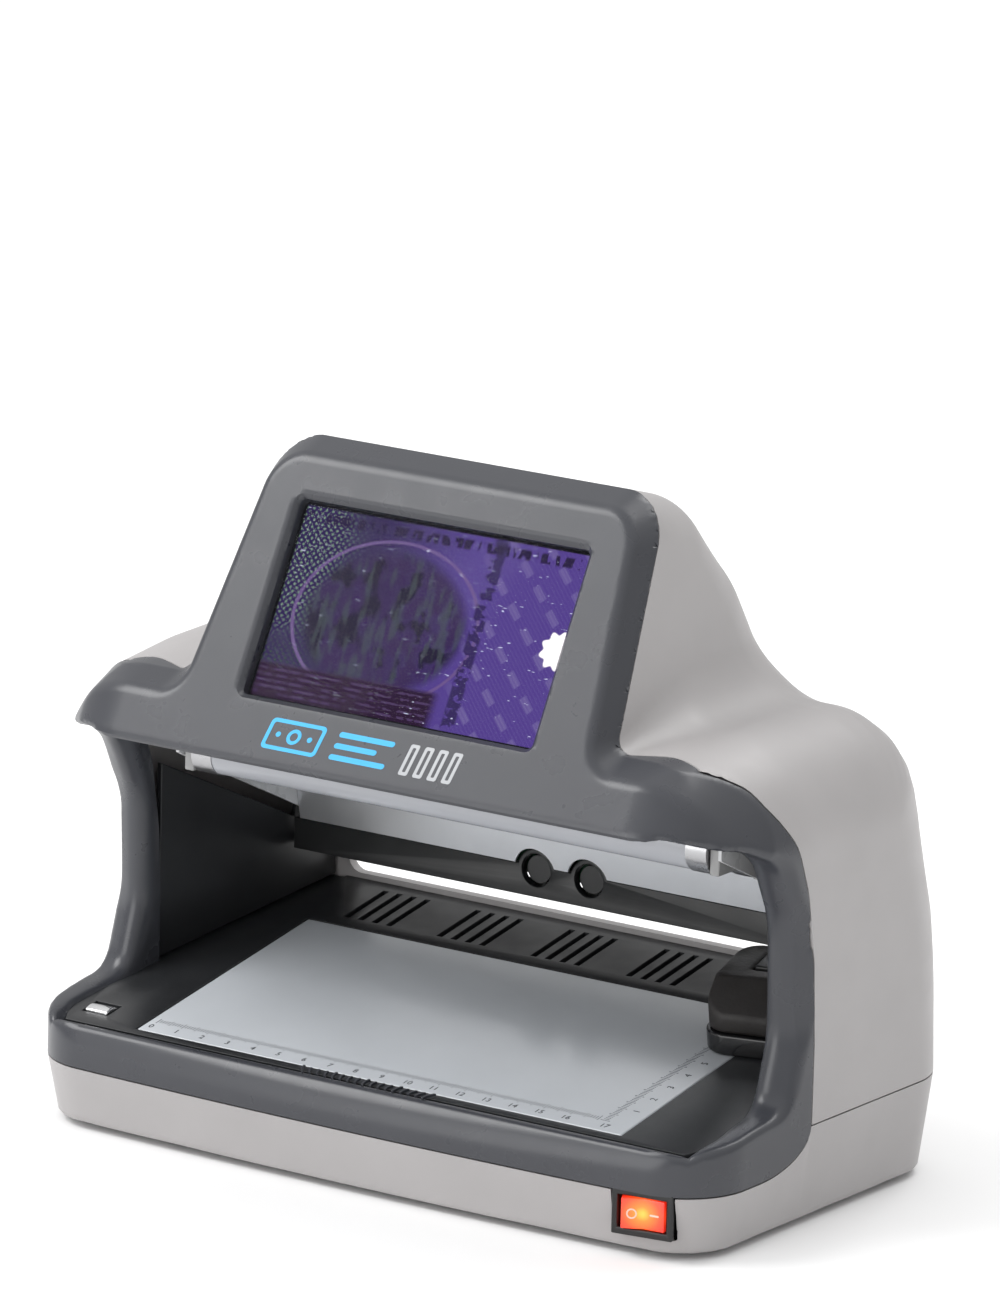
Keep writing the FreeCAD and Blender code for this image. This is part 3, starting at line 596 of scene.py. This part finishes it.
# ---------------------------------------------------------------- lit plate and its rulers
# A sheet of opal acrylic lit from below, let into the tray, with a polished edge. Rulers in
# centimetres are printed along its front and its right side.
def set_down(made, frame_of, body="housing"):
    """Puts a piece made in a local frame in its place, and lets it ride there."""
    made.data.transform(frame_of)
    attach(made, body)
    return made


def leaning_frame(d, z, slope, x=0.0, turn=0.0):
    """A frame at (x, d, z) in millimetres, sloped about X and then turned about its own Z."""
    place = Matrix.Translation(Vector((x, lip_y + d, z)) * MM)
    lean = Matrix.Rotation(math.radians(slope), 4, "X")
    return place @ lean @ Matrix.Rotation(math.radians(turn), 4, "Z") @ Matrix.Scale(MM, 4)


tray_frame = leaning_frame(14.1, 35, 8.9)
opal = grained("opal_acrylic", (0.52, 0.545, 0.575), 0.22, 2.5, 0.02, 0.02, 0.04)
softened("light_plate", opal, 0.7, segments=3)
ink = grained("printed_ink", (0.02, 0.022, 0.03), 0.5, 0.2, 0.05, 0.1, 0.05)


def marks_tree(finish):
    """A row of printed strokes along X: count, spacing, width, length and a longer every fifth."""
    tree = bpy.data.node_groups.new("row_of_marks", "GeometryNodeTree")
    sockets = tree.interface
    sockets.new_socket("Geometry", in_out="OUTPUT", socket_type="NodeSocketGeometry")
    for name, kind in (
        ("Count", "NodeSocketInt"),
        ("Spacing", "NodeSocketFloat"),
        ("Width", "NodeSocketFloat"),
        ("Length", "NodeSocketFloat"),
        ("Longer", "NodeSocketFloat"),
        ("Every", "NodeSocketInt"),
        ("Thick", "NodeSocketFloat"),
    ):
        sockets.new_socket(name, in_out="INPUT", socket_type=kind)
    nodes = tree.nodes
    links = tree.links
    given = nodes.new("NodeGroupInput").outputs
    result = nodes.new("NodeGroupOutput")
    line = nodes.new("GeometryNodeMeshLine")
    step = nodes.new("ShaderNodeCombineXYZ")
    links.new(given["Spacing"], step.inputs["X"])
    links.new(step.outputs["Vector"], line.inputs["Offset"])
    links.new(given["Count"], line.inputs["Count"])
    stroke = nodes.new("GeometryNodeMeshCube")
    size = nodes.new("ShaderNodeCombineXYZ")
    links.new(given["Width"], size.inputs["X"])
    links.new(given["Length"], size.inputs["Y"])
    links.new(given["Thick"], size.inputs["Z"])
    links.new(size.outputs["Vector"], stroke.inputs["Size"])
    index = nodes.new("GeometryNodeInputIndex")
    rest = nodes.new("ShaderNodeMath")
    rest.operation = "MODULO"
    links.new(index.outputs["Index"], rest.inputs[0])
    links.new(given["Every"], rest.inputs[1])
    is_long = nodes.new("ShaderNodeMath")
    is_long.operation = "LESS_THAN"
    is_long.inputs[1].default_value = 0.5
    links.new(rest.outputs["Value"], is_long.inputs[0])
    gain = nodes.new("ShaderNodeMix")
    gain.inputs["A"].default_value = 1
    links.new(is_long.outputs["Value"], gain.inputs["Factor"])
    links.new(given["Longer"], gain.inputs["B"])
    scale = nodes.new("ShaderNodeCombineXYZ")
    scale.inputs["X"].default_value = 1
    scale.inputs["Z"].default_value = 1
    links.new(gain.outputs["Result"], scale.inputs["Y"])
    copies = nodes.new("GeometryNodeInstanceOnPoints")
    links.new(line.outputs["Mesh"], copies.inputs["Points"])
    links.new(stroke.outputs["Mesh"], copies.inputs["Instance"])
    links.new(scale.outputs["Vector"], copies.inputs["Scale"])
    real = nodes.new("GeometryNodeRealizeInstances")
    links.new(copies.outputs["Instances"], real.inputs["Geometry"])
    dress = nodes.new("GeometryNodeSetMaterial")
    dress.inputs["Material"].default_value = finish
    links.new(real.outputs["Geometry"], dress.inputs["Geometry"])
    links.new(dress.outputs["Geometry"], result.inputs["Geometry"])
    return tree


def grown(name, tree, **sizes):
    """The plain mesh that a geometry tree makes with these inputs."""
    seed = bpy.data.objects.new(f"{name}_seed", bpy.data.meshes.new(f"{name}_seed"))
    scene.collection.objects.link(seed)
    modifier = seed.modifiers.new("grow", "NODES")
    modifier.node_group = tree
    for item in tree.interface.items_tree:
        if item.in_out == "INPUT" and item.name in sizes:
            modifier[item.identifier] = sizes[item.name]
    bpy.context.view_layer.update()
    shown = seed.evaluated_get(bpy.context.evaluated_depsgraph_get())
    mesh = bpy.data.meshes.new_from_object(shown)
    mesh.name = name
    seed.modifiers.clear()
    bpy.data.objects.remove(seed)
    made = bpy.data.objects.new(name, mesh)
    scene.collection.objects.link(made)
    return made


ruler_tree = marks_tree(ink)
print_up = 0.03
ruler_start = -90
side_start = 7.3
ruler_stroke = {"Width": 0.16, "Length": 2.0, "Longer": 1.7, "Every": 5, "Thick": 0.06}
front_ruler = grown("front_ruler", ruler_tree, Count=171, Spacing=1.0, **ruler_stroke)
set_down(front_ruler, tray_frame @ Matrix.Translation((ruler_start, 8.2, print_up)))
side_ruler = grown("side_ruler", ruler_tree, Count=85, Spacing=1.0, **ruler_stroke)
quarter = Matrix.Rotation(math.radians(90), 4, "Z")
set_down(side_ruler, tray_frame @ Matrix.Translation((82.6, side_start, print_up)) @ quarter)

digits = []
for number in range(18):
    digits.append((str(number), (ruler_start + 10 * number + (0 if number < 17 else 4.5), 3.9), 0))
for number in range(1, 9):
    digits.append((str(number), (88, side_start + 10 * number), 90))
for order, (label, (x, y), turn) in enumerate(digits):
    text = bpy.data.curves.new(f"digit_{order}", "FONT")
    text.body = label
    text.size = 3.4
    text.align_x = "CENTER"
    text.align_y = "CENTER"
    text.extrude = 0.03
    holder = bpy.data.objects.new(f"digit_{order}_text", text)
    scene.collection.objects.link(holder)
    mesh = bpy.data.meshes.new_from_object(holder.evaluated_get(bpy.context.evaluated_depsgraph_get()))
    bpy.data.objects.remove(holder)
    mesh.transform(Matrix.Translation((x, y, print_up)) @ Matrix.Rotation(math.radians(turn), 4, "Z"))
    digits[order] = mesh
joined = bmesh.new()
for mesh in digits:
    joined.from_mesh(mesh)
digit_mesh = bpy.data.meshes.new("ruler_digits")
joined.to_mesh(digit_mesh)
joined.free()
digit_mesh.materials.clear()
digit_mesh.materials.append(ink)
ruler_digits = bpy.data.objects.new("ruler_digits", digit_mesh)
scene.collection.objects.link(ruler_digits)
set_down(ruler_digits, tray_frame)


# ---------------------------------------------------------------- screen
# A five inch liquid crystal panel behind a clear window. It shows the lit plate in violet
# light: a paler ribbon, woven lines that glow green, a dark view and a white seal.
lcd_picture = bpy.data.materials.new("lcd_picture")
lcd_picture.use_nodes = True
lcd_nodes = lcd_picture.node_tree.nodes
lcd_links = lcd_picture.node_tree.links
lcd_place = lcd_nodes.new("ShaderNodeMapping")
lcd_place.vector_type = "TEXTURE"
lcd_place.inputs["Location"].default_value = Vector((0, lip_y + face_depth, face_height)) * MM
lcd_place.inputs["Rotation"].default_value = (-face_lean, 0, 0)
lcd_place.inputs["Scale"].default_value = (0.11, 0.11, 0.0658)
lcd_links.new(lcd_nodes.new("ShaderNodeTexCoord").outputs["Object"], lcd_place.inputs["Vector"])
lcd_axes = lcd_nodes.new("ShaderNodeSeparateXYZ")
lcd_links.new(lcd_place.outputs["Vector"], lcd_axes.inputs["Vector"])
across = lcd_axes.outputs["X"]
upward = lcd_axes.outputs["Z"]


def reckon(operation, a, b=0.0):
    made = lcd_nodes.new("ShaderNodeMath")
    made.operation = operation
    for socket, value in zip(made.inputs, (a, b)):
        if isinstance(value, (int, float)):
            socket.default_value = value
        else:
            lcd_links.new(value, socket)
    return made.outputs["Value"]


def step_between(value, low, high):
    made = lcd_nodes.new("ShaderNodeMapRange")
    made.interpolation_type = "SMOOTHSTEP"
    made.inputs["From Min"].default_value = low
    made.inputs["From Max"].default_value = high
    lcd_links.new(value, made.inputs["Value"])
    return made.outputs["Result"]


def layer(under, colour, cover):
    made = lcd_nodes.new("ShaderNodeMix")
    made.data_type = "RGBA"
    if isinstance(under, tuple):
        made.inputs["A"].default_value = (*under, 1)
    else:
        lcd_links.new(under, made.inputs["A"])
    made.inputs["B"].default_value = (*colour, 1)
    lcd_links.new(cover, made.inputs["Factor"])
    return made.outputs["Result"]


def lcd_noise(scale, detail, stretch=(1, 1, 1)):
    turned = lcd_nodes.new("ShaderNodeMapping")
    turned.inputs["Scale"].default_value = stretch
    lcd_links.new(lcd_place.outputs["Vector"], turned.inputs["Vector"])
    made = lcd_nodes.new("ShaderNodeTexNoise")
    made.inputs["Scale"].default_value = scale
    made.inputs["Detail"].default_value = detail
    lcd_links.new(turned.outputs["Vector"], made.inputs["Vector"])
    return made.outputs["Fac"]


def disc(u, v, wide, tall):
    """Below 1 inside an ellipse about (u, v)."""
    du = reckon("DIVIDE", reckon("SUBTRACT", across, u), wide)
    dv = reckon("DIVIDE", reckon("SUBTRACT", upward, v), tall)
    return reckon("ADD", reckon("MULTIPLY", du, du), reckon("MULTIPLY", dv, dv))


def lines(along, pitch, sharp):
    wave = reckon("SINE", reckon("MULTIPLY", along, 2 * math.pi / pitch))
    return step_between(wave, sharp, sharp + 0.3)


rising = reckon("ADD", across, reckon("MULTIPLY", upward, 0.6))
falling = reckon("SUBTRACT", across, reckon("MULTIPLY", upward, 0.6))
picture = layer((0.05, 0.025, 0.16), (0.16, 0.085, 0.52), step_between(across, -0.25, 0.15))
weave = reckon("MULTIPLY", lines(rising, 0.022, 0.0), lines(falling, 0.022, 0.0))
left_part = reckon("MULTIPLY", step_between(across, -0.22, -0.4), step_between(upward, 0.25, 0.5))
picture = layer(picture, (0.30, 0.50, 0.34), reckon("MULTIPLY", weave, left_part))
low_left = reckon("MULTIPLY", step_between(across, -0.25, -0.42), step_between(upward, 0.4, 0.2))
picture = layer(picture, (0.07, 0.16, 0.08), reckon("MULTIPLY", weave, low_left))
diamonds = reckon("MULTIPLY", lines(rising, 0.13, 0.55), lines(falling, 0.13, -0.4))
right_part = step_between(across, 0.1, 0.24)
picture = layer(picture, (0.30, 0.22, 0.66), reckon("MULTIPLY", diamonds, right_part))
fine = reckon("MULTIPLY", lines(rising, 0.016, 0.3), right_part)
picture = layer(picture, (0.22, 0.13, 0.60), reckon("MULTIPLY", fine, 0.5))
view = step_between(disc(-0.12, 0.48, 0.28, 0.36), 1.1, 0.75)
rough = step_between(lcd_noise(7, 6, (2.2, 1, 1)), 0.42, 0.58)
picture = layer(picture, (0.018, 0.008, 0.05), reckon("MULTIPLY", view, rough))
picture = layer(picture, (0.055, 0.018, 0.15), reckon("MULTIPLY", view, reckon("SUBTRACT", 1.0, rough)))
towers = step_between(lcd_noise(16, 3, (3, 1, 0.35)), 0.52, 0.6)
picture = layer(picture, (0.10, 0.14, 0.16), reckon("MULTIPLY", reckon("MULTIPLY", view, towers), 0.55))
edge_ring = reckon("MULTIPLY", step_between(disc(-0.12, 0.48, 0.31, 0.40), 0.96, 1.0),
                   step_between(disc(-0.12, 0.48, 0.31, 0.40), 1.07, 1.03))
picture = layer(picture, (0.28, 0.16, 0.50), edge_ring)
ribbon = reckon("MULTIPLY", step_between(across, 0.16, 0.17), step_between(across, 0.215, 0.205))
torn = step_between(lcd_noise(22, 2), 0.44, 0.5)
picture = layer(picture, (0.06, 0.03, 0.20), reckon("MULTIPLY", ribbon, torn))
foot = reckon("MULTIPLY", step_between(upward, 0.2, 0.17), step_between(across, 0.14, 0.1))
picture = layer(picture, (0.035, 0.004, 0.05), foot)
rules = reckon("MULTIPLY", foot, lines(upward, 0.03, 0.2))
letters = step_between(lcd_noise(60, 1), 0.45, 0.5)
picture = layer(picture, (0.13, 0.06, 0.22), reckon("MULTIPLY", rules, letters))
head = reckon("MULTIPLY", step_between(upward, 0.9, 0.915), step_between(upward, 0.965, 0.95))
blocks = step_between(lcd_noise(55, 1, (1, 1, 0.2)), 0.47, 0.52)
picture = layer(picture, (0.03, 0.012, 0.09), reckon("MULTIPLY", head, blocks))
fibres = step_between(lcd_noise(34, 1.5, (1, 1, 3.2)), 0.735, 0.75)
picture = layer(picture, (1.3, 1.35, 1.8), fibres)
seal_u = reckon("SUBTRACT", across, 0.47)
seal_v = reckon("MULTIPLY", reckon("SUBTRACT", upward, 0.5), 0.6)
seal_turn = reckon("MULTIPLY", reckon("ARCTAN2", seal_v, seal_u), 9.0)
petals = reckon("MULTIPLY", reckon("COSINE", seal_turn), 0.006)
seal_squares = reckon("ADD", reckon("MULTIPLY", seal_u, seal_u), reckon("MULTIPLY", seal_v, seal_v))
seal_out = reckon("SQRT", seal_squares)
seal = step_between(reckon("SUBTRACT", seal_out, petals), 0.056, 0.05)
picture = layer(picture, (2.4, 2.3, 2.35), seal)
out_u = reckon("SUBTRACT", reckon("ABSOLUTE", across), 0.49)
out_v = reckon("SUBTRACT", reckon("ABSOLUTE", reckon("SUBTRACT", upward, 0.5)), 0.484)
border = step_between(reckon("MAXIMUM", out_u, out_v), -0.002, 0.002)
picture = layer(picture, (0.004, 0.004, 0.006), border)
lcd_shader = lcd_nodes["Principled BSDF"]
lcd_shader.inputs["Base Color"].default_value = (0.01, 0.01, 0.012, 1)
lcd_shader.inputs["Roughness"].default_value = 0.5
lcd_shader.inputs["Specular IOR Level"].default_value = 0.0
lcd_shader.inputs["Emission Strength"].default_value = 0.5
lcd_links.new(picture, lcd_shader.inputs["Emission Color"])


def dress(node, finish):
    """Gives a CAD piece its finish."""
    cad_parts[node].data.materials.clear()
    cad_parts[node].data.materials.append(finish)


dress("lcd_panel", lcd_picture)
clear = bpy.data.materials.new("clear_window")
clear.use_nodes = True
clear_shader = clear.node_tree.nodes["Principled BSDF"]
clear_shader.inputs["Base Color"].default_value = (0.02, 0.02, 0.022, 1)
clear_shader.inputs["Alpha"].default_value = 0.03
smear = clear.node_tree.nodes.new("ShaderNodeTexNoise")
smear.inputs["Scale"].default_value = 30
clear_place = clear.node_tree.nodes.new("ShaderNodeTexCoord").outputs["Object"]
clear.node_tree.links.new(clear_place, smear.inputs["Vector"])
smear_range = clear.node_tree.nodes.new("ShaderNodeMapRange")
smear_range.inputs["To Min"].default_value = 0.02
smear_range.inputs["To Max"].default_value = 0.06
clear.node_tree.links.new(smear.outputs["Fac"], smear_range.inputs["Value"])
clear.node_tree.links.new(smear_range.outputs["Result"], clear_shader.inputs["Roughness"])
dress("screen_window", clear)
dress("viewer_lens", clear)


# ---------------------------------------------------------------- badge
# Two printed marks under the screen: a blue pictogram of a note under a lens, and four grey
# bars beside it. Each is a thin pad-printed layer on the front frame.
face_frame = leaning_frame(face_depth, face_height, -28.5) @ Matrix.Rotation(math.radians(90), 4, "X")


def rounded_loop(u, v, half_u, half_v, radius, steps=5):
    """A rounded rectangle about (u, v) as a ring of points."""
    loop = []
    for quarter_turn, (side_u, side_v) in enumerate(((1, 1), (-1, 1), (-1, -1), (1, -1))):
        for step in range(steps + 1):
            turn = math.radians(90 * (quarter_turn + step / steps))
            loop.append(
                (
                    u + side_u * (half_u - radius) + radius * math.cos(turn),
                    v + side_v * (half_v - radius) + radius * math.sin(turn),
                )
            )
    return loop


def printed(name, outlines, finish, thick=0.08, shear=0.0):
    """Flat marks with a little body: each item is an outline, or an outline and a hole."""
    vertices, faces = [], []
    for item in outlines:
        rings = item if isinstance(item, tuple) else (item,)
        first = len(vertices)
        count = len(rings[0])
        for ring in rings:
            for level in (0, thick):
                vertices += [(u + shear * v, v, level) for u, v in ring]
        for step in range(count):
            after = (step + 1) % count
            low, high = first + step, first + after
            faces.append((low, high, high + count, low + count))
            if len(rings) == 2:
                inner = 2 * count
                faces.append((high + inner, low + inner, low + inner + count, high + inner + count))
                faces.append((low + count, high + count, high + count + inner, low + count + inner))
                faces.append((high, low, low + inner, high + inner))
        if len(rings) == 1:
            faces.append(tuple(range(first + count, first + 2 * count)))
            faces.append(tuple(reversed(range(first, first + count))))
    made = new_object(name, vertices, faces)
    made.data.materials.append(finish)
    return made


badge_blue = grained("badge_blue_ink", (0.03, 0.40, 0.75), 0.35, 0.3, 0.03, 0.04, 0.03)
badge_grey = grained("badge_grey_ink", (0.42, 0.43, 0.45), 0.35, 0.3, 0.03, 0.04, 0.03)
note_mark = [
    (rounded_loop(-28, -11, 10.5, 5.2, 1.6), rounded_loop(-28, -11, 9.2, 3.9, 0.8)),
    (rounded_loop(-28, -11, 2.6, 2.6, 2.6), rounded_loop(-28, -11, 1.4, 1.4, 1.4)),
    rounded_loop(-34, -11, 0.9, 0.9, 0.9),
    rounded_loop(-22, -11, 0.9, 0.9, 0.9),
]
for row, reach in enumerate((11, 8.5, 11)):
    note_mark.append(rounded_loop(-13 + reach, -7.2 - 3.8 * row, reach - 0.5, 0.9, 0.9))
lift = Matrix.Translation((0, 0, -0.02))
set_down(printed("badge_pictogram", note_mark, badge_blue, shear=0.2), face_frame @ lift)
bars = [rounded_loop(16 + 5.4 * column, -11, 1.7, 5.2, 0.7) for column in range(4)]
bars = [(outer, rounded_loop(16 + 5.4 * column, -11, 0.6, 4.1, 0.3)) for column, outer in enumerate(bars)]
set_down(printed("badge_bars", bars, badge_grey, shear=0.2), face_frame @ lift)


# ---------------------------------------------------------------- grip fan
# A fan of fine ribs moulded in the middle of the lip, where a fingertip slides a note on.
fan_tree = marks_tree(graphite)
fan_ribs = grown(
    "fan_ribs", fan_tree, Count=17, Spacing=3.0, Width=0.7, Length=3.4, Longer=1.3, Every=4, Thick=0.8
)
fan_mesh = bmesh.new()
fan_mesh.from_mesh(fan_ribs.data)
bmesh.ops.subdivide_edges(
    fan_mesh, edges=[e for e in fan_mesh.edges if abs((e.verts[0].co - e.verts[1].co).y) > 1], cuts=5
)
for vertex in fan_mesh.verts:
    u = vertex.co.x - 24
    v = vertex.co.y
    vertex.co = (u + 0.02 * u * v + 0.12 * v * v, v, vertex.co.z)
fan_mesh.to_mesh(fan_ribs.data)
fan_mesh.free()
lip_frame = leaning_frame(8.2, 36.0, 10)
set_down(fan_ribs, lip_frame)


# ---------------------------------------------------------------- inside the bay
# The bar across the back of the bay holds the two camera eyes. Above it a bent bright sheet
# throws the light of two tubes, held at their ends, down on the plate.
black_satin = grained("black_satin_plastic", (0.010, 0.0105, 0.011), 0.4, 0.3, 0.1, 0.1, 0.05)
softened("camera_bar", black_satin, 0.5)
for node in ("white_light_camera", "infrared_camera", "power_socket", "speaker", "head_guide"):
    dress(node, black_satin)


def metal(name, colour, roughness, streaks=(60, 900, 60), spread=0.08):
    """Bare or plated sheet: fine drawn streaks in its gloss, and faint stains."""
    material = grained(name, colour, roughness, 0.5, 0.02, 0.04, spread)
    material.node_tree.nodes["Principled BSDF"].inputs["Metallic"].default_value = 0.95
    nodes = material.node_tree.nodes
    links = material.node_tree.links
    turned = nodes.new("ShaderNodeMapping")
    turned.inputs["Scale"].default_value = streaks
    links.new(nodes["Texture Coordinate"].outputs["Object"], turned.inputs["Vector"])
    noise = nodes.new("ShaderNodeTexNoise")
    noise.inputs["Scale"].default_value = 1
    links.new(turned.outputs["Vector"], noise.inputs["Vector"])
    for link in list(nodes["Bump"].inputs["Height"].links):
        links.remove(link)
    links.new(noise.outputs["Fac"], nodes["Bump"].inputs["Height"])
    return material


bright_sheet = metal("bright_reflector_sheet", (0.80, 0.81, 0.83), 0.34, (8, 90, 8), 0.02)
white_sheet = grained("white_painted_sheet", (0.66, 0.67, 0.68), 0.3, 0.6, 0.03)
bright_metal = metal("bright_plated_metal", (0.72, 0.72, 0.73), 0.16)
spring_steel = metal("spring_steel", (0.42, 0.42, 0.43), 0.3)
zinc_steel = metal("zinc_plated_steel", (0.55, 0.56, 0.55), 0.38)
tube_glass = grained("lamp_tube_glass", (0.42, 0.43, 0.46), 0.16, 3.0, 0.01, 0.02, 0.03)
holder_white = grained("lamp_holder_grey", (0.34, 0.34, 0.34), 0.38, 0.4, 0.04)
board_green = grained("board_green", (0.015, 0.10, 0.045), 0.3, 1.2, 0.25, 0.2, 0.08)
board_part = grained("board_part_black", (0.02, 0.02, 0.022), 0.5, 0.5, 0.1, 0.15)
diode_yellow = grained("diode_lens", (0.75, 0.66, 0.25), 0.2, 0.8, 0.05, 0.1)
for finish, names in (
    (bright_sheet, ("reflector", "heat_sink")),
    (white_sheet, ("left_reflector_end", "right_reflector_end")),
    (tube_glass, ("lamp_tubes",)),
    (holder_white, ("power_posts",)),
    (spring_steel, ("lamp_caps",)),
    (spring_steel, ("head_spring",)),
    (zinc_steel, ("lcd_bracket", "board_posts", "board_screws", "base_screws")),
    (zinc_steel, ("accessory_socket", "switch_blades")),
    (board_green, ("backlight_board", "camera_board", "main_board", "power_board")),
    (board_part, ("board_chips", "power_parts")),
    (diode_yellow, ("backlight_diodes",)),
    (opal, ("light_guide",)),
):
    for node in names:
        dress(node, finish)
softened("lamp_holders", holder_white, 0.5)


# ---------------------------------------------------------------- mains switch
# A snap-in rocker in a black collar under the lip. The red rocker is clear plastic over a
# small lamp, pressed in at its right, with a ring and a bar moulded on its two halves.
softened("switch_collar", black_satin, 0.6, segments=3)
glow_red = grained("glowing_red_rocker", (0.62, 0.025, 0.012), 0.16, 0.6, 0.03, 0.1, 0.04)
glow_nodes = glow_red.node_tree.nodes
glow_links = glow_red.node_tree.links
glow_place = glow_nodes.new("ShaderNodeMapping")
glow_place.vector_type = "TEXTURE"
switch_middle = Vector((108.2, lip_y + 5.4, 14.9)) * MM
glow_place.inputs["Location"].default_value = switch_middle
glow_place.inputs["Scale"].default_value = (0.0085, 0.012, 0.0075)
glow_links.new(glow_nodes["Texture Coordinate"].outputs["Object"], glow_place.inputs["Vector"])
glow_ball = glow_nodes.new("ShaderNodeVectorMath")
glow_ball.operation = "LENGTH"
glow_links.new(glow_place.outputs["Vector"], glow_ball.inputs[0])
glow_ramp = glow_nodes.new("ShaderNodeValToRGB")
for place, colour in (
    (0.16, (1.0, 0.50, 0.05, 1)),
    (0.34, (1.0, 0.24, 0.02, 1)),
    (0.75, (0.85, 0.06, 0.01, 1)),
):
    stop = glow_ramp.color_ramp.elements.new(place)
    stop.color = colour
glow_ramp.color_ramp.elements[0].color = (1.0, 0.66, 0.14, 1)
glow_ramp.color_ramp.elements[-1].color = (0.45, 0.012, 0.004, 1)
glow_links.new(glow_ball.outputs["Value"], glow_ramp.inputs["Fac"])
glow_links.new(glow_ramp.outputs["Color"], glow_nodes["Principled BSDF"].inputs["Emission Color"])
glow_nodes["Principled BSDF"].inputs["Emission Strength"].default_value = 1.3
glow_nodes["Principled BSDF"].inputs["Coat Weight"].default_value = 0.5
softened("switch_rocker", glow_red, 0.35, body="rocker", segments=3)
rocker_mark = grained("rocker_mark_white", (0.80, 0.62, 0.50), 0.4, 0.4, 0.02)
rocker_frame = (
    Matrix.Translation(Vector((108.2, lip_y + 5.2, 7.4)) * MM)
    @ Matrix.Rotation(math.radians(8), 4, "Z")
    @ Matrix.Translation(Vector((0, 1.5, 7.5)) * MM)
    @ Matrix.Rotation(math.radians(8), 4, "Z")
)
for name, turn, outline in (
    ("rocker_ring", -11.3, (rounded_loop(0, 0, 1.7, 1.7, 1.7), rounded_loop(0, 0, 1.2, 1.2, 1.2))),
    ("rocker_bar", 11.3, rounded_loop(0, 0, 1.6, 0.3, 0.3)),
):
    side = -1 if turn < 0 else 1
    on_rocker = (
        rocker_frame
        @ Matrix.Translation(Vector((side * 3.7, -3.45, 0)) * MM)
        @ Matrix.Rotation(math.radians(-turn), 4, "Z")
        @ Matrix.Rotation(math.radians(90), 4, "X")
        @ Matrix.Scale(MM, 4)
    )
    set_down(printed(name, [outline], rocker_mark, 0.2), on_rocker, "rocker")


# ---------------------------------------------------------------- magnetic head
# A polished read head that peeps through a window at the front left of the tray and gives
# when a note is drawn over it, with its guide and spring below.
softened("magnetic_head", bright_metal, 0.5, body="head", segments=3)


# ---------------------------------------------------------------- hand viewer
# A loose viewer parked at the right of the tray: a glossy black skirt round its lens, a
# soft textured cover like leather, and a button on top.
gloss_black = grained("glossy_black_plastic", (0.008, 0.008, 0.009), 0.14, 0.8, 0.02, 0.1, 0.03)
hide = grained("soft_textured_cover", (0.016, 0.0135, 0.0125), 0.55, 1.1, 0.5, 0.25, 0.1)
softened("viewer_skirt", gloss_black, 0.8, body="viewer", segments=3)
softened("viewer_cover", hide, 3.2, body="viewer", segments=4)
softened("viewer_button", black_satin, 0.8, body="viewer_key", segments=3)


# ---------------------------------------------------------------- feet
# Four round rubber feet let into the base.
rubber = grained("black_rubber", (0.012, 0.012, 0.012), 0.75, 0.5, 0.2, 0.2, 0.08)
softened("rubber_feet", rubber, 0.5)
